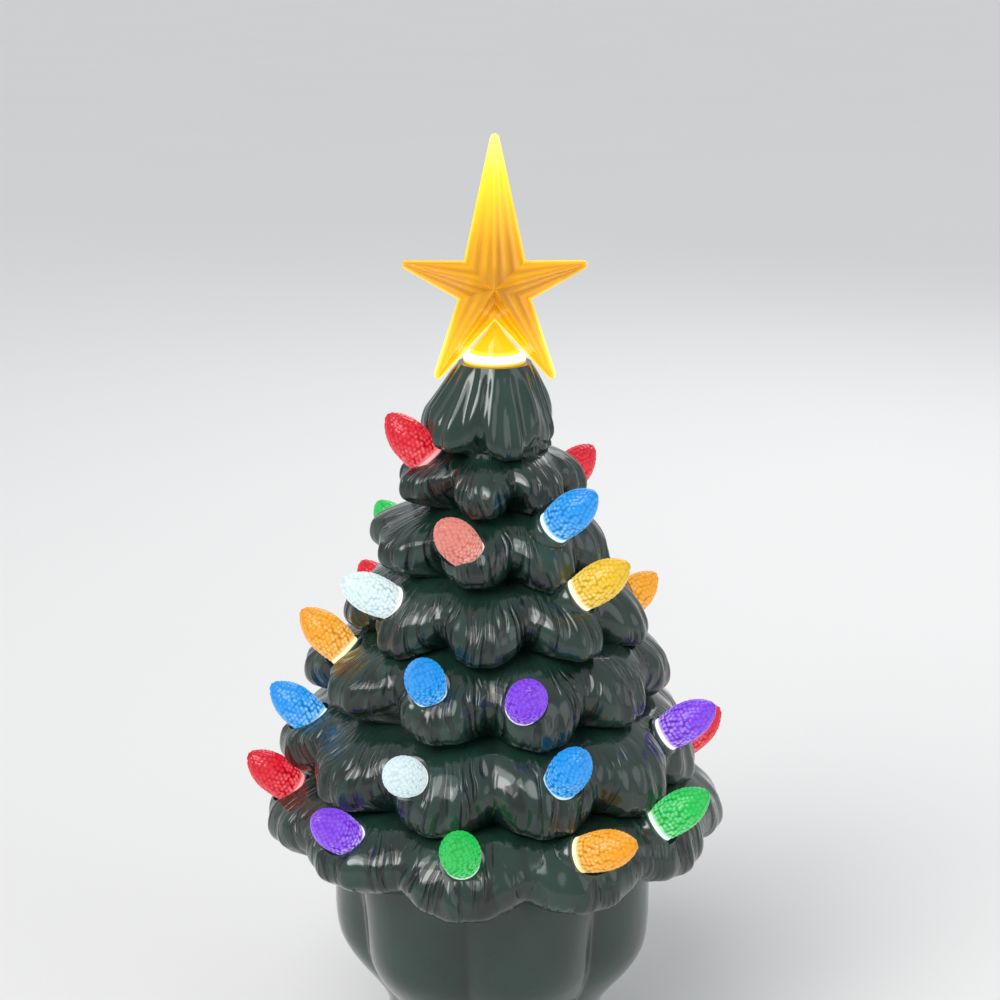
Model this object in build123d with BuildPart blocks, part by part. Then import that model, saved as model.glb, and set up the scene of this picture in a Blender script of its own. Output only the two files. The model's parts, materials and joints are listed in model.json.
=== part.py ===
"""Lighted ceramic tabletop tree: glazed tree body, bulb pegs, star topper and battery base.

Millimetres, +Z up. The origin is on the table under the tree's axis, and the front faces -Y.
Turns are degrees about the axis, 0 at the front and growing towards +X.
"""
from build123d import *
from math import cos, hypot, radians, sin
import os

os.makedirs("parts", exist_ok=True)

# Overall
quarter_turn = 90.0
cut_overrun = 2.0
slip_clearance = 0.15
seat_clearance = 0.4
part_gap = 0.3

# Tree body: seven tiers of drooping boughs that rise over a trunk
trunk_height = 80.0
crown_rise = 152.0
top_bore_radius = 6.2
# Heights of the bough tips over the trunk, as shares of the crown's rise
tier_rise_shares = [0.868, 0.75, 0.622, 0.4935, 0.3455, 0.1875, 0.043]
tier_radii = [21.5, 31.0, 39.5, 48.0, 57.5, 66.5, 74.5]
bough_counts = [6, 7, 8, 9, 10, 11, 11]
bough_turns = [14.0, -10.0, -12.0, -5.0, -20.0, -17.0, -8.5]
bough_depth = 18.0
cap_depth = 8.5
outline_points = 72
outline_sectors = 12
bough_roundness = 2.0
# Each row: height over the tip as a share of the step up to the next tier,
# then how far the bough and the valley beside it draw in, as shares of the bough's depth
bough_shares = [
    (0.63, 0.80, 0.88),
    (0.49, 0.60, 0.76),
    (0.36, 0.42, 0.64),
    (0.23, 0.22, 0.56),
    (0.12, 0.08, 0.50),
    (0.01, 0.01, 0.52),
    (-0.09, 0.00, 0.60),
    (-0.18, 0.06, 0.71),
    (-0.25, 0.20, 0.82),
    (-0.30, 0.50, 0.92),
]
cap_shares = [
    (1.00, 1.20, 1.20),
    (0.85, 0.98, 1.02),
    (0.66, 0.74, 0.82),
    (0.44, 0.44, 0.58),
    (0.24, 0.17, 0.44),
    (0.08, 0.04, 0.38),
    (-0.06, 0.00, 0.40),
    (-0.15, 0.07, 0.50),
    (-0.22, 0.22, 0.60),
    (-0.28, 0.48, 0.72),
]

# Trunk and foot, below the boughs
foot_height = 0.8
trunk_wall = 3.8
trunk_lobe_depth = 6.0
trunk_lobe_count = 7
trunk_lobe_turn = -88.0
# Each row: height and radius as shares of the trunk's height and girth, lobe depth share
trunk_shares = [
    (0.98, 0.95, 0.20),
    (0.88, 0.985, 0.50),
    (0.76, 1.00, 0.85),
    (0.64, 1.00, 1.00),
    (0.54, 0.975, 0.95),
    (0.45, 0.90, 0.75),
    (0.36, 0.785, 0.45),
    (0.28, 0.70, 0.25),
    (0.20, 0.67, 0.12),
    (0.12, 0.685, 0.06),
    (0.05, 0.73, 0.03),
    (0.00, 0.745, 0.00),
]

# Cavity that the lamp stands in
neck_room = 1.4
neck_height = 22.0
ledge_width = 3.0
ledge_height = 6.0
cavity_wall = 1.0
# Each row: height as a share of the top height, radius as a share of the cavity's girth
cavity_shares = [
    (0.185, 0.92),
    (0.27, 0.98),
    (0.435, 0.98),
    (0.54, 0.78),
    (0.625, 0.57),
    (0.715, 0.355),
    (0.80, 0.19),
]

# Bulb pegs
bulb_length = 19.5
bulb_radius = 6.3
bulb_base_radius = 5.3
bulb_flange = 1.2
bulb_stem_radius = 2.6
bulb_stem_length = 7.0
bulb_belly_share = 0.40
bulb_neck_share = 0.80
bulb_neck_radius_share = 0.66
seat_inset = 9.5
seat_rise = 8.0
boss_wall = 0.8
boss_length = 12.0
light_bore_length = 36.0
# Each row: colour, tier, turn, turn of the peg from straight out, pitch, height share of the rise
bulb_places = [
    ("red", 1, -74.0, -20.0, 50.0, 0.0),
    ("red", 2, 140.0, -26.0, 44.0, 0.35),
    ("green", 3, -135.0, 12.0, 44.0, 0.25),
    ("blue", 2, 36.0, 26.0, 42.0, 0.4),
    ("pink", 2, -15.0, -20.0, 42.0, -0.45),
    ("yellow", 2, 174.0, 0.0, 42.0, 0.0),
    ("white", 3, -54.0, -10.0, 30.0, -0.2),
    ("yellow", 3, 41.0, 36.0, 36.0, 0.35),
    ("orange", 4, 125.0, -20.0, 41.0, 0.2),
    ("red", 4, -135.0, 10.0, 46.0, 0.2),
    ("blue", 3, -172.0, 5.0, 42.0, 0.0),
    ("green", 3, 158.0, -4.0, 40.0, 0.0),
    ("orange", 4, -76.0, -20.0, 44.0, 0.2),
    ("blue", 4, -24.0, 14.0, 43.0, 0.0),
    ("purple", 4, 10.0, 0.0, 36.0, -0.5),
    ("pink", 4, 157.0, 8.0, 40.0, 0.0),
    ("white", 4, -168.0, -6.0, 42.0, 0.0),
    ("green", 2, -152.0, 6.0, 40.0, -0.2),
    ("blue", 5, -81.0, -16.0, 41.0, 0.1),
    ("white", 5, -26.0, 12.0, 26.0, -0.1),
    ("blue", 5, 20.0, 10.0, 48.0, -0.2),
    ("purple", 5, 68.0, 9.0, 36.0, 0.2),
    ("orange", 5, -128.0, 0.0, 42.0, 0.0),
    ("yellow", 5, 138.0, 4.0, 40.0, -0.2),
    ("red", 5, 176.0, -5.0, 40.0, 0.0),
    ("red", 6, -80.0, 3.0, 43.0, 0.2),
    ("purple", 6, -42.0, 0.0, 40.0, 0.0),
    ("green", 6, -8.5, 4.0, 43.0, 0.0),
    ("orange", 6, 23.0, 44.0, 20.0, 0.05),
    ("green", 6, 50.0, 33.0, 38.0, 0.25),
    ("red", 6, 111.0, -6.0, 40.0, 0.3),
    ("blue", 6, 142.0, 0.0, 40.0, 0.0),
    ("white", 6, -163.0, 0.0, 40.0, 0.0),
    ("yellow", 6, -134.0, -4.0, 40.0, 0.0),
]

# Star topper
star_width = 58.0
star_height = 75.0
star_overlap = 6.0
star_points = 5
star_tip_radius = 1.3
star_half_depth = 9.5
star_wall = 1.4
star_centre_share = 0.40
# Outline of the right half from the top point down, before its points are rounded,
# as shares of half the width and of the height
star_shares = [(0.0, 1.07), (0.32, 0.493), (1.10, 0.498), (0.38, 0.34), (0.706, -0.044), (0.0, 0.253)]
stem_radius = 7.4
stem_wall = 1.2
stem_flange_radius = 9.6
stem_flange_height = 3.0
stem_tube_height = 20.0
sleeve_wall = 1.2
plug_length = 14.0

# Battery base
plate_height = 3.0
pad_radius = 3.5
pad_margin = 1.0
pad_turns = [52.0, 128.0, -128.0, -52.0]
cell_radius = 5.25
cell_length = 44.5
cell_nub_radius = 1.9
cell_nub_length = 0.8
cell_gap = 0.7
cell_count = 3
contact_room = 2.2
contact_thickness = 0.4
contact_width = 7.0
contact_tag_width = 2.0
holder_wall = 1.4
holder_roof = 1.4
door_thickness = 1.6
door_lip = 1.3
door_corner_radius = 2.0
door_tongue_width = 7.0
door_tongue_length = 4.8
hinge_pin_radius = 0.6
hinge_pin_length = 1.2
running_fit = 0.05
screw_radius = 0.9
screw_head_radius = 1.8
screw_head_height = 0.8
screw_length = 4.6
screw_slot_width = 0.5
screw_slot_depth = 0.4
screw_swing_clearance = 0.6
screw_boss_wall = 1.0
screw_boss_height = 3.6

# Switch
switch_gap = 2.0
switch_width = 5.6
switch_length = 12.5
switch_body_height = 5.0
slider_width = 2.6
slider_length = 3.6
slider_reach = 1.2
slider_ridge_depth = 0.35
slider_travel = 2.5
switch_pin_radius = 0.4
switch_pin_pitch = 3.0

# Lamp inside the tree
board_room = 3.2
board_half_width = 20.0
board_thickness = 1.6
post_side = 8.0
post_sides = 4
post_bore_radius = 2.2
post_flange_radius = 11.0
post_flange_height = 2.0
post_neck_radius = 4.2
post_neck_length = 48.0
star_led_drop = 8.0
strip_width = 5.0
strip_thickness = 1.0
chip_side = 2.8
chip_height = 1.0
chips_per_strip = 7
lead_radius = 0.4
lead_pitch = 2.54
star_led_radius = 2.5
star_led_length = 8.6
star_led_rim_radius = 2.9
star_led_rim_height = 1.0

# Sizes that follow from those above
top_height = trunk_height + crown_rise
tier_heights = [trunk_height + share * crown_rise for share in tier_rise_shares]
star_base_height = top_height - star_overlap
post_neck_top = top_height - star_led_drop
post_square_top = post_neck_top - post_neck_length
cell_pitch = 2 * cell_radius + cell_gap
holder_half_width = cell_pitch * (cell_count - 1) / 2 + cell_radius + part_gap
holder_half_length = cell_length / 2 + contact_room
neck_bore_radius = hypot(holder_half_width, holder_half_length) + neck_room
holder_limit = neck_bore_radius - part_gap
foot_bore_radius = neck_bore_radius + ledge_width
trunk_waist_share = min(radius_share for _, radius_share, _ in trunk_shares)
trunk_girth = (neck_bore_radius + trunk_wall) / trunk_waist_share
cavity_girth = trunk_girth - trunk_lobe_depth - cavity_wall
plate_thickness = ledge_height - plate_height
plate_radius = foot_bore_radius - part_gap
pad_height = plate_height
pad_ring_radius = plate_radius - pad_radius - pad_margin
switch_offset = holder_half_width + holder_wall + switch_gap + switch_width / 2
board_radius = holder_limit - board_room
door_top = plate_height + door_thickness
cell_height = door_top + part_gap + cell_radius
holder_ceiling = cell_height + cell_radius + part_gap
board_height = holder_ceiling + holder_roof
board_top = board_height + board_thickness
post_foot_top = board_top + post_flange_height
door_half_width = holder_half_width + door_lip
door_half_length = holder_half_length + door_lip
hinge_height = plate_height + door_thickness / 2
hinge_offset = door_half_length - door_thickness / 2
screw_offset = door_half_length + door_tongue_length / 2
sleeve_radius = stem_radius + slip_clearance + sleeve_wall
sleeve_base = top_height + stem_flange_height
stem_top = sleeve_base + stem_tube_height
plug_radius = top_bore_radius - slip_clearance
star_centre_height = star_base_height + star_centre_share * star_height


def heading(turn):
    """Unit vector straight out from the axis at a turn."""
    return Vector(sin(radians(turn)), -cos(radians(turn)), 0)


def scallop(turn, count, start):
    """Share of a bough at a turn: 1 on its ridge and 0 in the valley beside it."""
    from_ridge = abs((turn - start) * count / 360 % 1 - 0.5)
    return 1 - (1 - 2 * from_ridge) ** bough_roundness


def scalloped_section(height, bough_radius, valley_radius, count, start):
    """One scalloped face of the body at a height, its outline in equal sectors."""
    points = []
    for number in range(outline_points + 1):
        turn = 360 * number / outline_points
        radius = valley_radius + (bough_radius - valley_radius) * scallop(turn, count, start)
        points.append(heading(turn) * radius)
    span = outline_points // outline_sectors
    steps = [number / span for number in range(span + 1)]
    with BuildSketch(Plane.XY.offset(height)) as section:
        with BuildLine():
            for first in range(0, outline_points, span):
                add(Edge.make_spline(points[first:first + span + 1], parameters=steps))
        make_face()
    return section.sketch


def tier_sections(tier):
    """Faces of one tier of boughs, from its root under the tier above to its underside."""
    tip_height = tier_heights[tier]
    tip_radius = tier_radii[tier]
    step_up = top_height - tip_height if tier == 0 else tier_heights[tier - 1] - tip_height
    depth = cap_depth if tier == 0 else bough_depth
    shares = cap_shares if tier == 0 else bough_shares
    return [
        scalloped_section(
            tip_height + height_share * step_up,
            tip_radius - bough_share * depth,
            tip_radius - valley_share * depth,
            bough_counts[tier],
            bough_turns[tier],
        )
        for height_share, bough_share, valley_share in shares
    ]


def trunk_sections():
    """Faces of the trunk, from under the lowest boughs to the foot."""
    return [
        scalloped_section(
            foot_height + height_share * (trunk_height - foot_height),
            radius_share * trunk_girth,
            radius_share * trunk_girth - lobe_share * trunk_lobe_depth,
            trunk_lobe_count,
            trunk_lobe_turn,
        )
        for height_share, radius_share, lobe_share in trunk_shares
    ]


def bulb_plane(tier, turn, swing, pitch, lift):
    """Plane at a bulb's seat, with its normal along the peg."""
    out = heading(turn) * (tier_radii[tier] - seat_inset)
    seat = out + Vector(0, 0, tier_heights[tier] + seat_rise * (1 + lift))
    normal = heading(turn + swing) * cos(radians(pitch)) + Vector(0, 0, sin(radians(pitch)))
    return Plane(origin=seat, x_dir=heading(turn + swing + quarter_turn), z_dir=normal)


def finish(piece, name):
    """Label a finished piece and write its file."""
    piece.part.label = name
    export_step(piece.part, f"parts/{name}.step")


bulb_seats = [bulb_plane(*place[1:]) for place in bulb_places]
body_sections = [face for tier in range(len(tier_heights)) for face in tier_sections(tier)]
body_sections += trunk_sections()

# Tree body, with a seat and a light bore for each bulb
with BuildPart() as tree_body:
    loft(body_sections, ruled=True)
    with Locations(*[seat.location for seat in bulb_seats]):
        Cylinder(
            bulb_base_radius + boss_wall, boss_length,
            align=(Align.CENTER, Align.CENTER, Align.MAX),
        )
    with Locations(*[seat.location for seat in bulb_seats]):
        Cylinder(
            bulb_radius + seat_clearance, bulb_length,
            align=(Align.CENTER, Align.CENTER, Align.MIN), mode=Mode.SUBTRACT,
        )
    with Locations(*[seat.location for seat in bulb_seats]):
        Cylinder(
            bulb_stem_radius + slip_clearance, light_bore_length,
            align=(Align.CENTER, Align.CENTER, Align.MAX), mode=Mode.SUBTRACT,
        )
    with BuildSketch(Plane.XZ):
        with BuildLine():
            Polyline(
                (0, foot_height - cut_overrun),
                (foot_bore_radius, foot_height - cut_overrun),
                (foot_bore_radius, ledge_height),
                (neck_bore_radius, ledge_height),
                (neck_bore_radius, neck_height),
                *[(share * cavity_girth, height * top_height) for height, share in cavity_shares],
                (top_bore_radius, top_height - plug_length - bulb_length),
                (top_bore_radius, top_height + cut_overrun),
                (0, top_height + cut_overrun),
                close=True,
            )
        make_face()
    revolve(axis=Axis.Z, mode=Mode.SUBTRACT)
finish(tree_body, "tree_body")

# Bulb pegs, each a node of its own
bulb_counts = {}
for place, seat in zip(bulb_places, bulb_seats):
    colour = place[0]
    bulb_counts[colour] = bulb_counts.get(colour, 0) + 1
    side_plane = Plane(origin=seat.origin, x_dir=seat.x_dir, z_dir=seat.x_dir.cross(seat.z_dir))
    with BuildPart() as bulb:
        with BuildSketch(side_plane):
            with BuildLine():
                Polyline(
                    (0, bulb_length),
                    (0, -bulb_stem_length),
                    (bulb_stem_radius, -bulb_stem_length),
                    (bulb_stem_radius, 0),
                    (bulb_base_radius, 0),
                    (bulb_base_radius, bulb_flange),
                )
                Spline(
                    (bulb_base_radius, bulb_flange),
                    (bulb_radius, bulb_belly_share * bulb_length),
                    (bulb_neck_radius_share * bulb_radius, bulb_neck_share * bulb_length),
                    (0, bulb_length),
                    tangents=[(bulb_radius - bulb_base_radius, bulb_flange), (-bulb_radius, 0)],
                )
            make_face()
        revolve(axis=Axis(seat.origin, seat.z_dir))
    finish(bulb, f"bulb_{colour}_{bulb_counts[colour]}")

# Star topper: two hollow faceted halves closed on a lit stem
star_right = [
    (share * star_width / 2, star_base_height + height * star_height)
    for share, height in star_shares
]
star_left = [(-across, height) for across, height in reversed(star_right[1:-1])]


def draw_in(point):
    """Point of the star's outline drawn in by the wall, towards the centre."""
    across, height = point
    kept_share = 1 - star_wall / ((star_shares[1][1] - star_centre_share) * star_height)
    return (across * kept_share, star_centre_height + (height - star_centre_height) * kept_share)


with BuildSketch(Plane.XZ) as star_outline:
    with BuildLine():
        Polyline(*star_right, *star_left, close=True)
    make_face()
    star_tips = star_outline.vertices().sort_by_distance((0, star_centre_height, 0))[-star_points:]
    fillet(star_tips, star_tip_radius)

with BuildSketch(Plane.XZ) as star_hollow:
    with BuildLine():
        Polyline(*[draw_in(point) for point in star_right + star_left], close=True)
    make_face()


def star_half(facing):
    """One half of the star; facing is -1 for the front and 1 for the back."""
    crown = Vertex(0, facing * star_half_depth, star_centre_height)
    hollow_crown = Vertex(0, facing * (star_half_depth - star_wall), star_centre_height)
    with BuildPart() as half:
        loft([star_outline.sketch, crown])
        loft([star_hollow.sketch, hollow_crown], mode=Mode.SUBTRACT)
        with BuildSketch(Plane.XY.offset(sleeve_base)):
            Circle(sleeve_radius)
            with Locations((0, facing * sleeve_radius / 2)):
                Rectangle(2 * sleeve_radius, sleeve_radius, mode=Mode.INTERSECT)
        extrude(amount=stem_tube_height)
        with BuildSketch(Plane.XY.offset(sleeve_base)):
            Circle(stem_radius + slip_clearance)
        extrude(amount=stem_tube_height + slip_clearance, mode=Mode.SUBTRACT)
    return half


finish(star_half(-1), "star_front")
finish(star_half(1), "star_back")

with BuildPart() as star_stem:
    with BuildSketch(Plane.XZ):
        with BuildLine():
            Polyline(
                (plug_radius - stem_wall, top_height - plug_length),
                (plug_radius, top_height - plug_length),
                (plug_radius, top_height),
                (stem_flange_radius, top_height),
                (stem_flange_radius, sleeve_base - slip_clearance),
                (stem_radius, sleeve_base - slip_clearance),
                (stem_radius, stem_top - stem_radius / 2),
            )
            Spline(
                (stem_radius, stem_top - stem_radius / 2),
                (0, stem_top),
                tangents=[(0, stem_radius), (-stem_radius, 0)],
            )
            Line((0, stem_top), (0, stem_top - stem_wall))
            Spline(
                (0, stem_top - stem_wall),
                (stem_radius - stem_wall, stem_top - stem_radius / 2),
                tangents=[(stem_radius, 0), (0, -stem_radius)],
            )
            Polyline(
                (stem_radius - stem_wall, stem_top - stem_radius / 2),
                (stem_radius - stem_wall, sleeve_base),
                (plug_radius - stem_wall, sleeve_base),
                (plug_radius - stem_wall, top_height - plug_length),
            )
        make_face()
    revolve(axis=Axis.Z)
finish(star_stem, "star_stem")

# Battery base: plate with the cell holder, door, cells and contacts
cell_places = [
    (cell_pitch * (number - (cell_count - 1) / 2), (-1) ** number)
    for number in range(cell_count)
]

with BuildPart() as base_plate:
    with BuildSketch(Plane.XY.offset(plate_height)):
        Circle(plate_radius)
    extrude(amount=plate_thickness)
    with BuildSketch(Plane.XY.offset(ledge_height)):
        Rectangle(2 * (holder_half_width + holder_wall), 2 * (holder_half_length + holder_wall))
        Circle(holder_limit, mode=Mode.INTERSECT)
    extrude(amount=board_height - ledge_height)
    with BuildSketch(Plane.XY.offset(ledge_height)):
        with Locations((0, screw_offset)):
            Circle(screw_radius + screw_swing_clearance + screw_boss_wall)
        Circle(holder_limit, mode=Mode.INTERSECT)
    extrude(amount=screw_boss_height)
    with BuildSketch(Plane.XY.offset(plate_height)):
        Rectangle(2 * holder_half_width, 2 * holder_half_length)
    extrude(amount=holder_ceiling - plate_height, mode=Mode.SUBTRACT)
    with BuildSketch(Plane.XY.offset(plate_height)):
        RectangleRounded(
            2 * (door_half_width + part_gap), 2 * (door_half_length + part_gap), door_corner_radius
        )
        with Locations((0, door_half_length)):
            RectangleRounded(
                door_tongue_width + 2 * part_gap, 2 * (door_tongue_length + part_gap),
                door_corner_radius,
            )
    extrude(amount=door_thickness + slip_clearance, mode=Mode.SUBTRACT)
    with BuildSketch(Plane.XY.offset(plate_height)):
        with Locations((0, screw_offset)):
            Circle(screw_radius + screw_swing_clearance)
    extrude(amount=plate_thickness + screw_boss_height - screw_boss_wall, mode=Mode.SUBTRACT)
    with BuildSketch(Plane.YZ.offset(-(door_half_width + hinge_pin_length + part_gap))):
        with Locations((-hinge_offset, hinge_height)):
            Circle(hinge_pin_radius + running_fit)
    extrude(amount=2 * (door_half_width + hinge_pin_length + part_gap), mode=Mode.SUBTRACT)
    with BuildSketch(Plane.XY.offset(plate_height)):
        with Locations((switch_offset, 0)):
            Rectangle(
                slider_width + 2 * part_gap, slider_length + 2 * (slider_travel + part_gap)
            )
    extrude(amount=plate_thickness, mode=Mode.SUBTRACT)
    with BuildSketch(Plane.XY.offset(holder_ceiling)):
        for across, _ in cell_places:
            for end in (-1, 1):
                with Locations((across, end * (holder_half_length - contact_thickness / 2))):
                    Rectangle(
                        contact_tag_width + 2 * slip_clearance, contact_thickness + 2 * slip_clearance
                    )
    extrude(amount=holder_roof, mode=Mode.SUBTRACT)
finish(base_plate, "base_plate")

with BuildPart() as battery_door:
    with BuildSketch(Plane.XY.offset(plate_height)):
        RectangleRounded(2 * door_half_width, 2 * door_half_length, door_corner_radius - part_gap)
        with Locations((0, door_half_length)):
            RectangleRounded(
                door_tongue_width, 2 * door_tongue_length, door_corner_radius - part_gap
            )
    extrude(amount=door_thickness)
    hinge_edges = battery_door.edges().filter_by(Axis.X).group_by(Axis.Y)[0]
    fillet(hinge_edges, door_thickness / 2 - running_fit)
    with BuildSketch(Plane.YZ.offset(-(door_half_width + hinge_pin_length))):
        with Locations((-hinge_offset, hinge_height)):
            Circle(hinge_pin_radius)
    extrude(amount=2 * (door_half_width + hinge_pin_length))
    with BuildSketch(Plane.XY.offset(plate_height)):
        with Locations((0, screw_offset)):
            Circle(screw_head_radius + slip_clearance)
    extrude(amount=screw_head_height, mode=Mode.SUBTRACT)
    with BuildSketch(Plane.XY.offset(plate_height)):
        with Locations((0, screw_offset)):
            Circle(screw_radius + slip_clearance)
    extrude(amount=door_thickness, mode=Mode.SUBTRACT)
finish(battery_door, "battery_door")

with BuildPart() as door_screw:
    with BuildSketch(Plane.XY.offset(plate_height)):
        with Locations((0, screw_offset)):
            Circle(screw_head_radius)
    extrude(amount=screw_head_height)
    with BuildSketch(Plane.XY.offset(plate_height)):
        with Locations((0, screw_offset)):
            Circle(screw_radius)
    extrude(amount=screw_length)
    with BuildSketch(Plane.XY.offset(plate_height)):
        with Locations((0, screw_offset)):
            Rectangle(2 * screw_head_radius, screw_slot_width)
            Rectangle(screw_slot_width, 2 * screw_head_radius)
    extrude(amount=screw_slot_depth, mode=Mode.SUBTRACT)
finish(door_screw, "door_screw")

for number, (across, facing) in enumerate(cell_places, start=1):
    with BuildPart() as cell:
        with BuildSketch(Plane.XZ.offset(facing * cell_length / 2)):
            with Locations((across, cell_height)):
                Circle(cell_radius)
        extrude(amount=-facing * (cell_length - cell_nub_length))
        with BuildSketch(Plane.XZ.offset(-facing * (cell_length / 2 - cell_nub_length))):
            with Locations((across, cell_height)):
                Circle(cell_nub_radius)
        extrude(amount=-facing * cell_nub_length)
    finish(cell, f"battery_{number}")

with BuildPart() as battery_contacts:
    for across, _ in cell_places:
        for end in (-1, 1):
            with BuildSketch(Plane.XZ.offset(end * holder_half_length)):
                with Locations((across, cell_height)):
                    Rectangle(contact_width, contact_width)
                with Locations((across, (cell_height + board_height) / 2)):
                    Rectangle(contact_tag_width, board_height - cell_height)
            extrude(amount=-end * contact_thickness)
            with BuildSketch(Plane.XZ.offset(end * (holder_half_length - contact_thickness))):
                with Locations((across, cell_height)):
                    Circle(cell_nub_radius)
            extrude(amount=-end * (contact_room - contact_thickness))
finish(battery_contacts, "battery_contacts")

with BuildPart() as rubber_feet:
    with BuildSketch(Plane.XY):
        with Locations(*[heading(turn) * pad_ring_radius for turn in pad_turns]):
            Circle(pad_radius)
    extrude(amount=pad_height)
    fillet(rubber_feet.faces().group_by(Axis.Z)[0].edges(), slip_clearance)
finish(rubber_feet, "rubber_feet")

# Switch
with BuildPart() as switch_body:
    with BuildSketch(Plane.XY.offset(ledge_height)):
        with Locations((switch_offset, 0)):
            Rectangle(switch_width, switch_length)
    extrude(amount=switch_body_height)
    chamfer(switch_body.faces().sort_by(Axis.Z)[-1].edges(), part_gap)
finish(switch_body, "switch_body")

with BuildPart() as switch_slider:
    with BuildSketch(Plane.XY.offset(plate_height - slider_reach)):
        with Locations((switch_offset, 0)):
            Rectangle(slider_width, slider_length)
    extrude(amount=plate_thickness + slider_reach - slip_clearance)
    with BuildSketch(Plane.XY.offset(plate_height - slider_reach)):
        with GridLocations(0, slider_length / 3, 1, 3):
            with Locations((switch_offset, 0)):
                Rectangle(slider_width, slider_ridge_depth)
    extrude(amount=slider_ridge_depth, mode=Mode.SUBTRACT)
finish(switch_slider, "switch_slider")

with BuildPart() as switch_pins:
    with BuildSketch(Plane.XY.offset(ledge_height + switch_body_height)):
        with Locations((switch_offset, 0)):
            with GridLocations(0, switch_pin_pitch, 1, 3):
                Circle(switch_pin_radius)
    extrude(amount=board_height - ledge_height - switch_body_height)
finish(switch_pins, "switch_pins")

# Lamp: control board, post, light strips and the star's own light
with BuildPart() as control_board:
    with BuildSketch(Plane.XY.offset(board_height)):
        Circle(board_radius)
        Rectangle(2 * board_radius, 2 * board_half_width, mode=Mode.INTERSECT)
    extrude(amount=board_thickness)
finish(control_board, "control_board")

with BuildPart() as lamp_post:
    with BuildSketch(Plane.XY.offset(board_top)):
        Circle(post_flange_radius)
    extrude(amount=post_flange_height)
    with BuildSketch(Plane.XY.offset(board_top)):
        Rectangle(post_side, post_side)
    extrude(amount=post_square_top - board_top)
    with BuildSketch(Plane.XY.offset(post_square_top)):
        Circle(post_neck_radius)
    extrude(amount=post_neck_top - post_square_top)
    with BuildSketch(Plane.XY.offset(board_top)):
        Circle(post_bore_radius)
    extrude(amount=post_neck_top - board_top, mode=Mode.SUBTRACT)
finish(lamp_post, "lamp_post")

strip_length = post_square_top - post_foot_top
strip_planes = [
    Plane(
        origin=heading(turn) * (post_side / 2) + Vector(0, 0, post_foot_top),
        x_dir=heading(turn + quarter_turn),
        z_dir=heading(turn),
    )
    for turn in [side * quarter_turn for side in range(post_sides)]
]
for number, strip_plane in enumerate(strip_planes, start=1):
    with BuildPart() as light_strip:
        with BuildSketch(strip_plane):
            Rectangle(strip_width, strip_length, align=(Align.CENTER, Align.MIN))
        extrude(amount=strip_thickness)
    finish(light_strip, f"light_strip_{number}")

with BuildPart() as light_chips:
    for strip_plane in strip_planes:
        with BuildSketch(strip_plane.offset(strip_thickness)):
            with Locations((0, strip_length / 2)):
                with GridLocations(0, strip_length / chips_per_strip, 1, chips_per_strip):
                    Rectangle(chip_side, chip_side)
        extrude(amount=chip_height)
finish(light_chips, "light_chips")

with BuildPart() as star_leads:
    with BuildSketch(Plane.XY.offset(board_top)):
        with GridLocations(lead_pitch, 0, 2, 1):
            Circle(lead_radius)
    extrude(amount=post_neck_top - board_top)
finish(star_leads, "star_leads")

with BuildPart() as star_led:
    with BuildSketch(Plane.XY.offset(post_neck_top)):
        Circle(star_led_rim_radius)
    extrude(amount=star_led_rim_height)
    with BuildSketch(Plane.XY.offset(post_neck_top)):
        Circle(star_led_radius)
    extrude(amount=star_led_length)
    fillet(star_led.faces().sort_by(Axis.Z)[-1].edges(), star_led_radius - part_gap)
finish(star_led, "star_led")
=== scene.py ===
"""Looks of a lighted ceramic tabletop tree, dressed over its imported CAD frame.

Metres, +Z up. The origin is on the table under the tree's axis, and the front faces -Y.
Turns are degrees about the axis, 0 at the front and growing towards +X.
"""

import json
import logging
import math
from contextlib import contextmanager
from dataclasses import dataclass
from enum import Enum
from typing import Any, Iterator, Sequence

import bpy
import numpy as np
from mathutils import Matrix, Vector

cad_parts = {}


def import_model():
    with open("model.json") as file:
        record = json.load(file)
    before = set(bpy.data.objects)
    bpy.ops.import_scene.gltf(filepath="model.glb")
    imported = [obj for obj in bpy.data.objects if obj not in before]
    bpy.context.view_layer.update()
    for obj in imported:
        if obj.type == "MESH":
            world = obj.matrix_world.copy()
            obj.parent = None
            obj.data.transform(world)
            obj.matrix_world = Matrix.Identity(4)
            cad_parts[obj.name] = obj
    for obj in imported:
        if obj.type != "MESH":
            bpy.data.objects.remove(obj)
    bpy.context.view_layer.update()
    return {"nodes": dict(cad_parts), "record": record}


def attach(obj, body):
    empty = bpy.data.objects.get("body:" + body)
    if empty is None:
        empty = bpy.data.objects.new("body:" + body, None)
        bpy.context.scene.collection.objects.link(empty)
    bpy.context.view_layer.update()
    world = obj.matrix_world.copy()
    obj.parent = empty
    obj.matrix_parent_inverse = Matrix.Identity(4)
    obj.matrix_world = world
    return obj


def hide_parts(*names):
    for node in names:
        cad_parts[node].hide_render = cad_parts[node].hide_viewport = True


LOG = logging.getLogger("lighted_tree")
MM = 0.001
Triple = tuple[float, float, float]
Colour = Triple
Pair = tuple[float, float]
Profile = Sequence[Pair]


def rgba(colour: Colour) -> tuple[float, float, float, float]:
    """Colour with full alpha, as node sockets take it."""
    return (*colour, 1.0)


def heading(turn: float) -> Vector:
    """Unit vector straight out from the axis at a turn in degrees."""
    return Vector((math.sin(math.radians(turn)), -math.cos(math.radians(turn)), 0.0))


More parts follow.
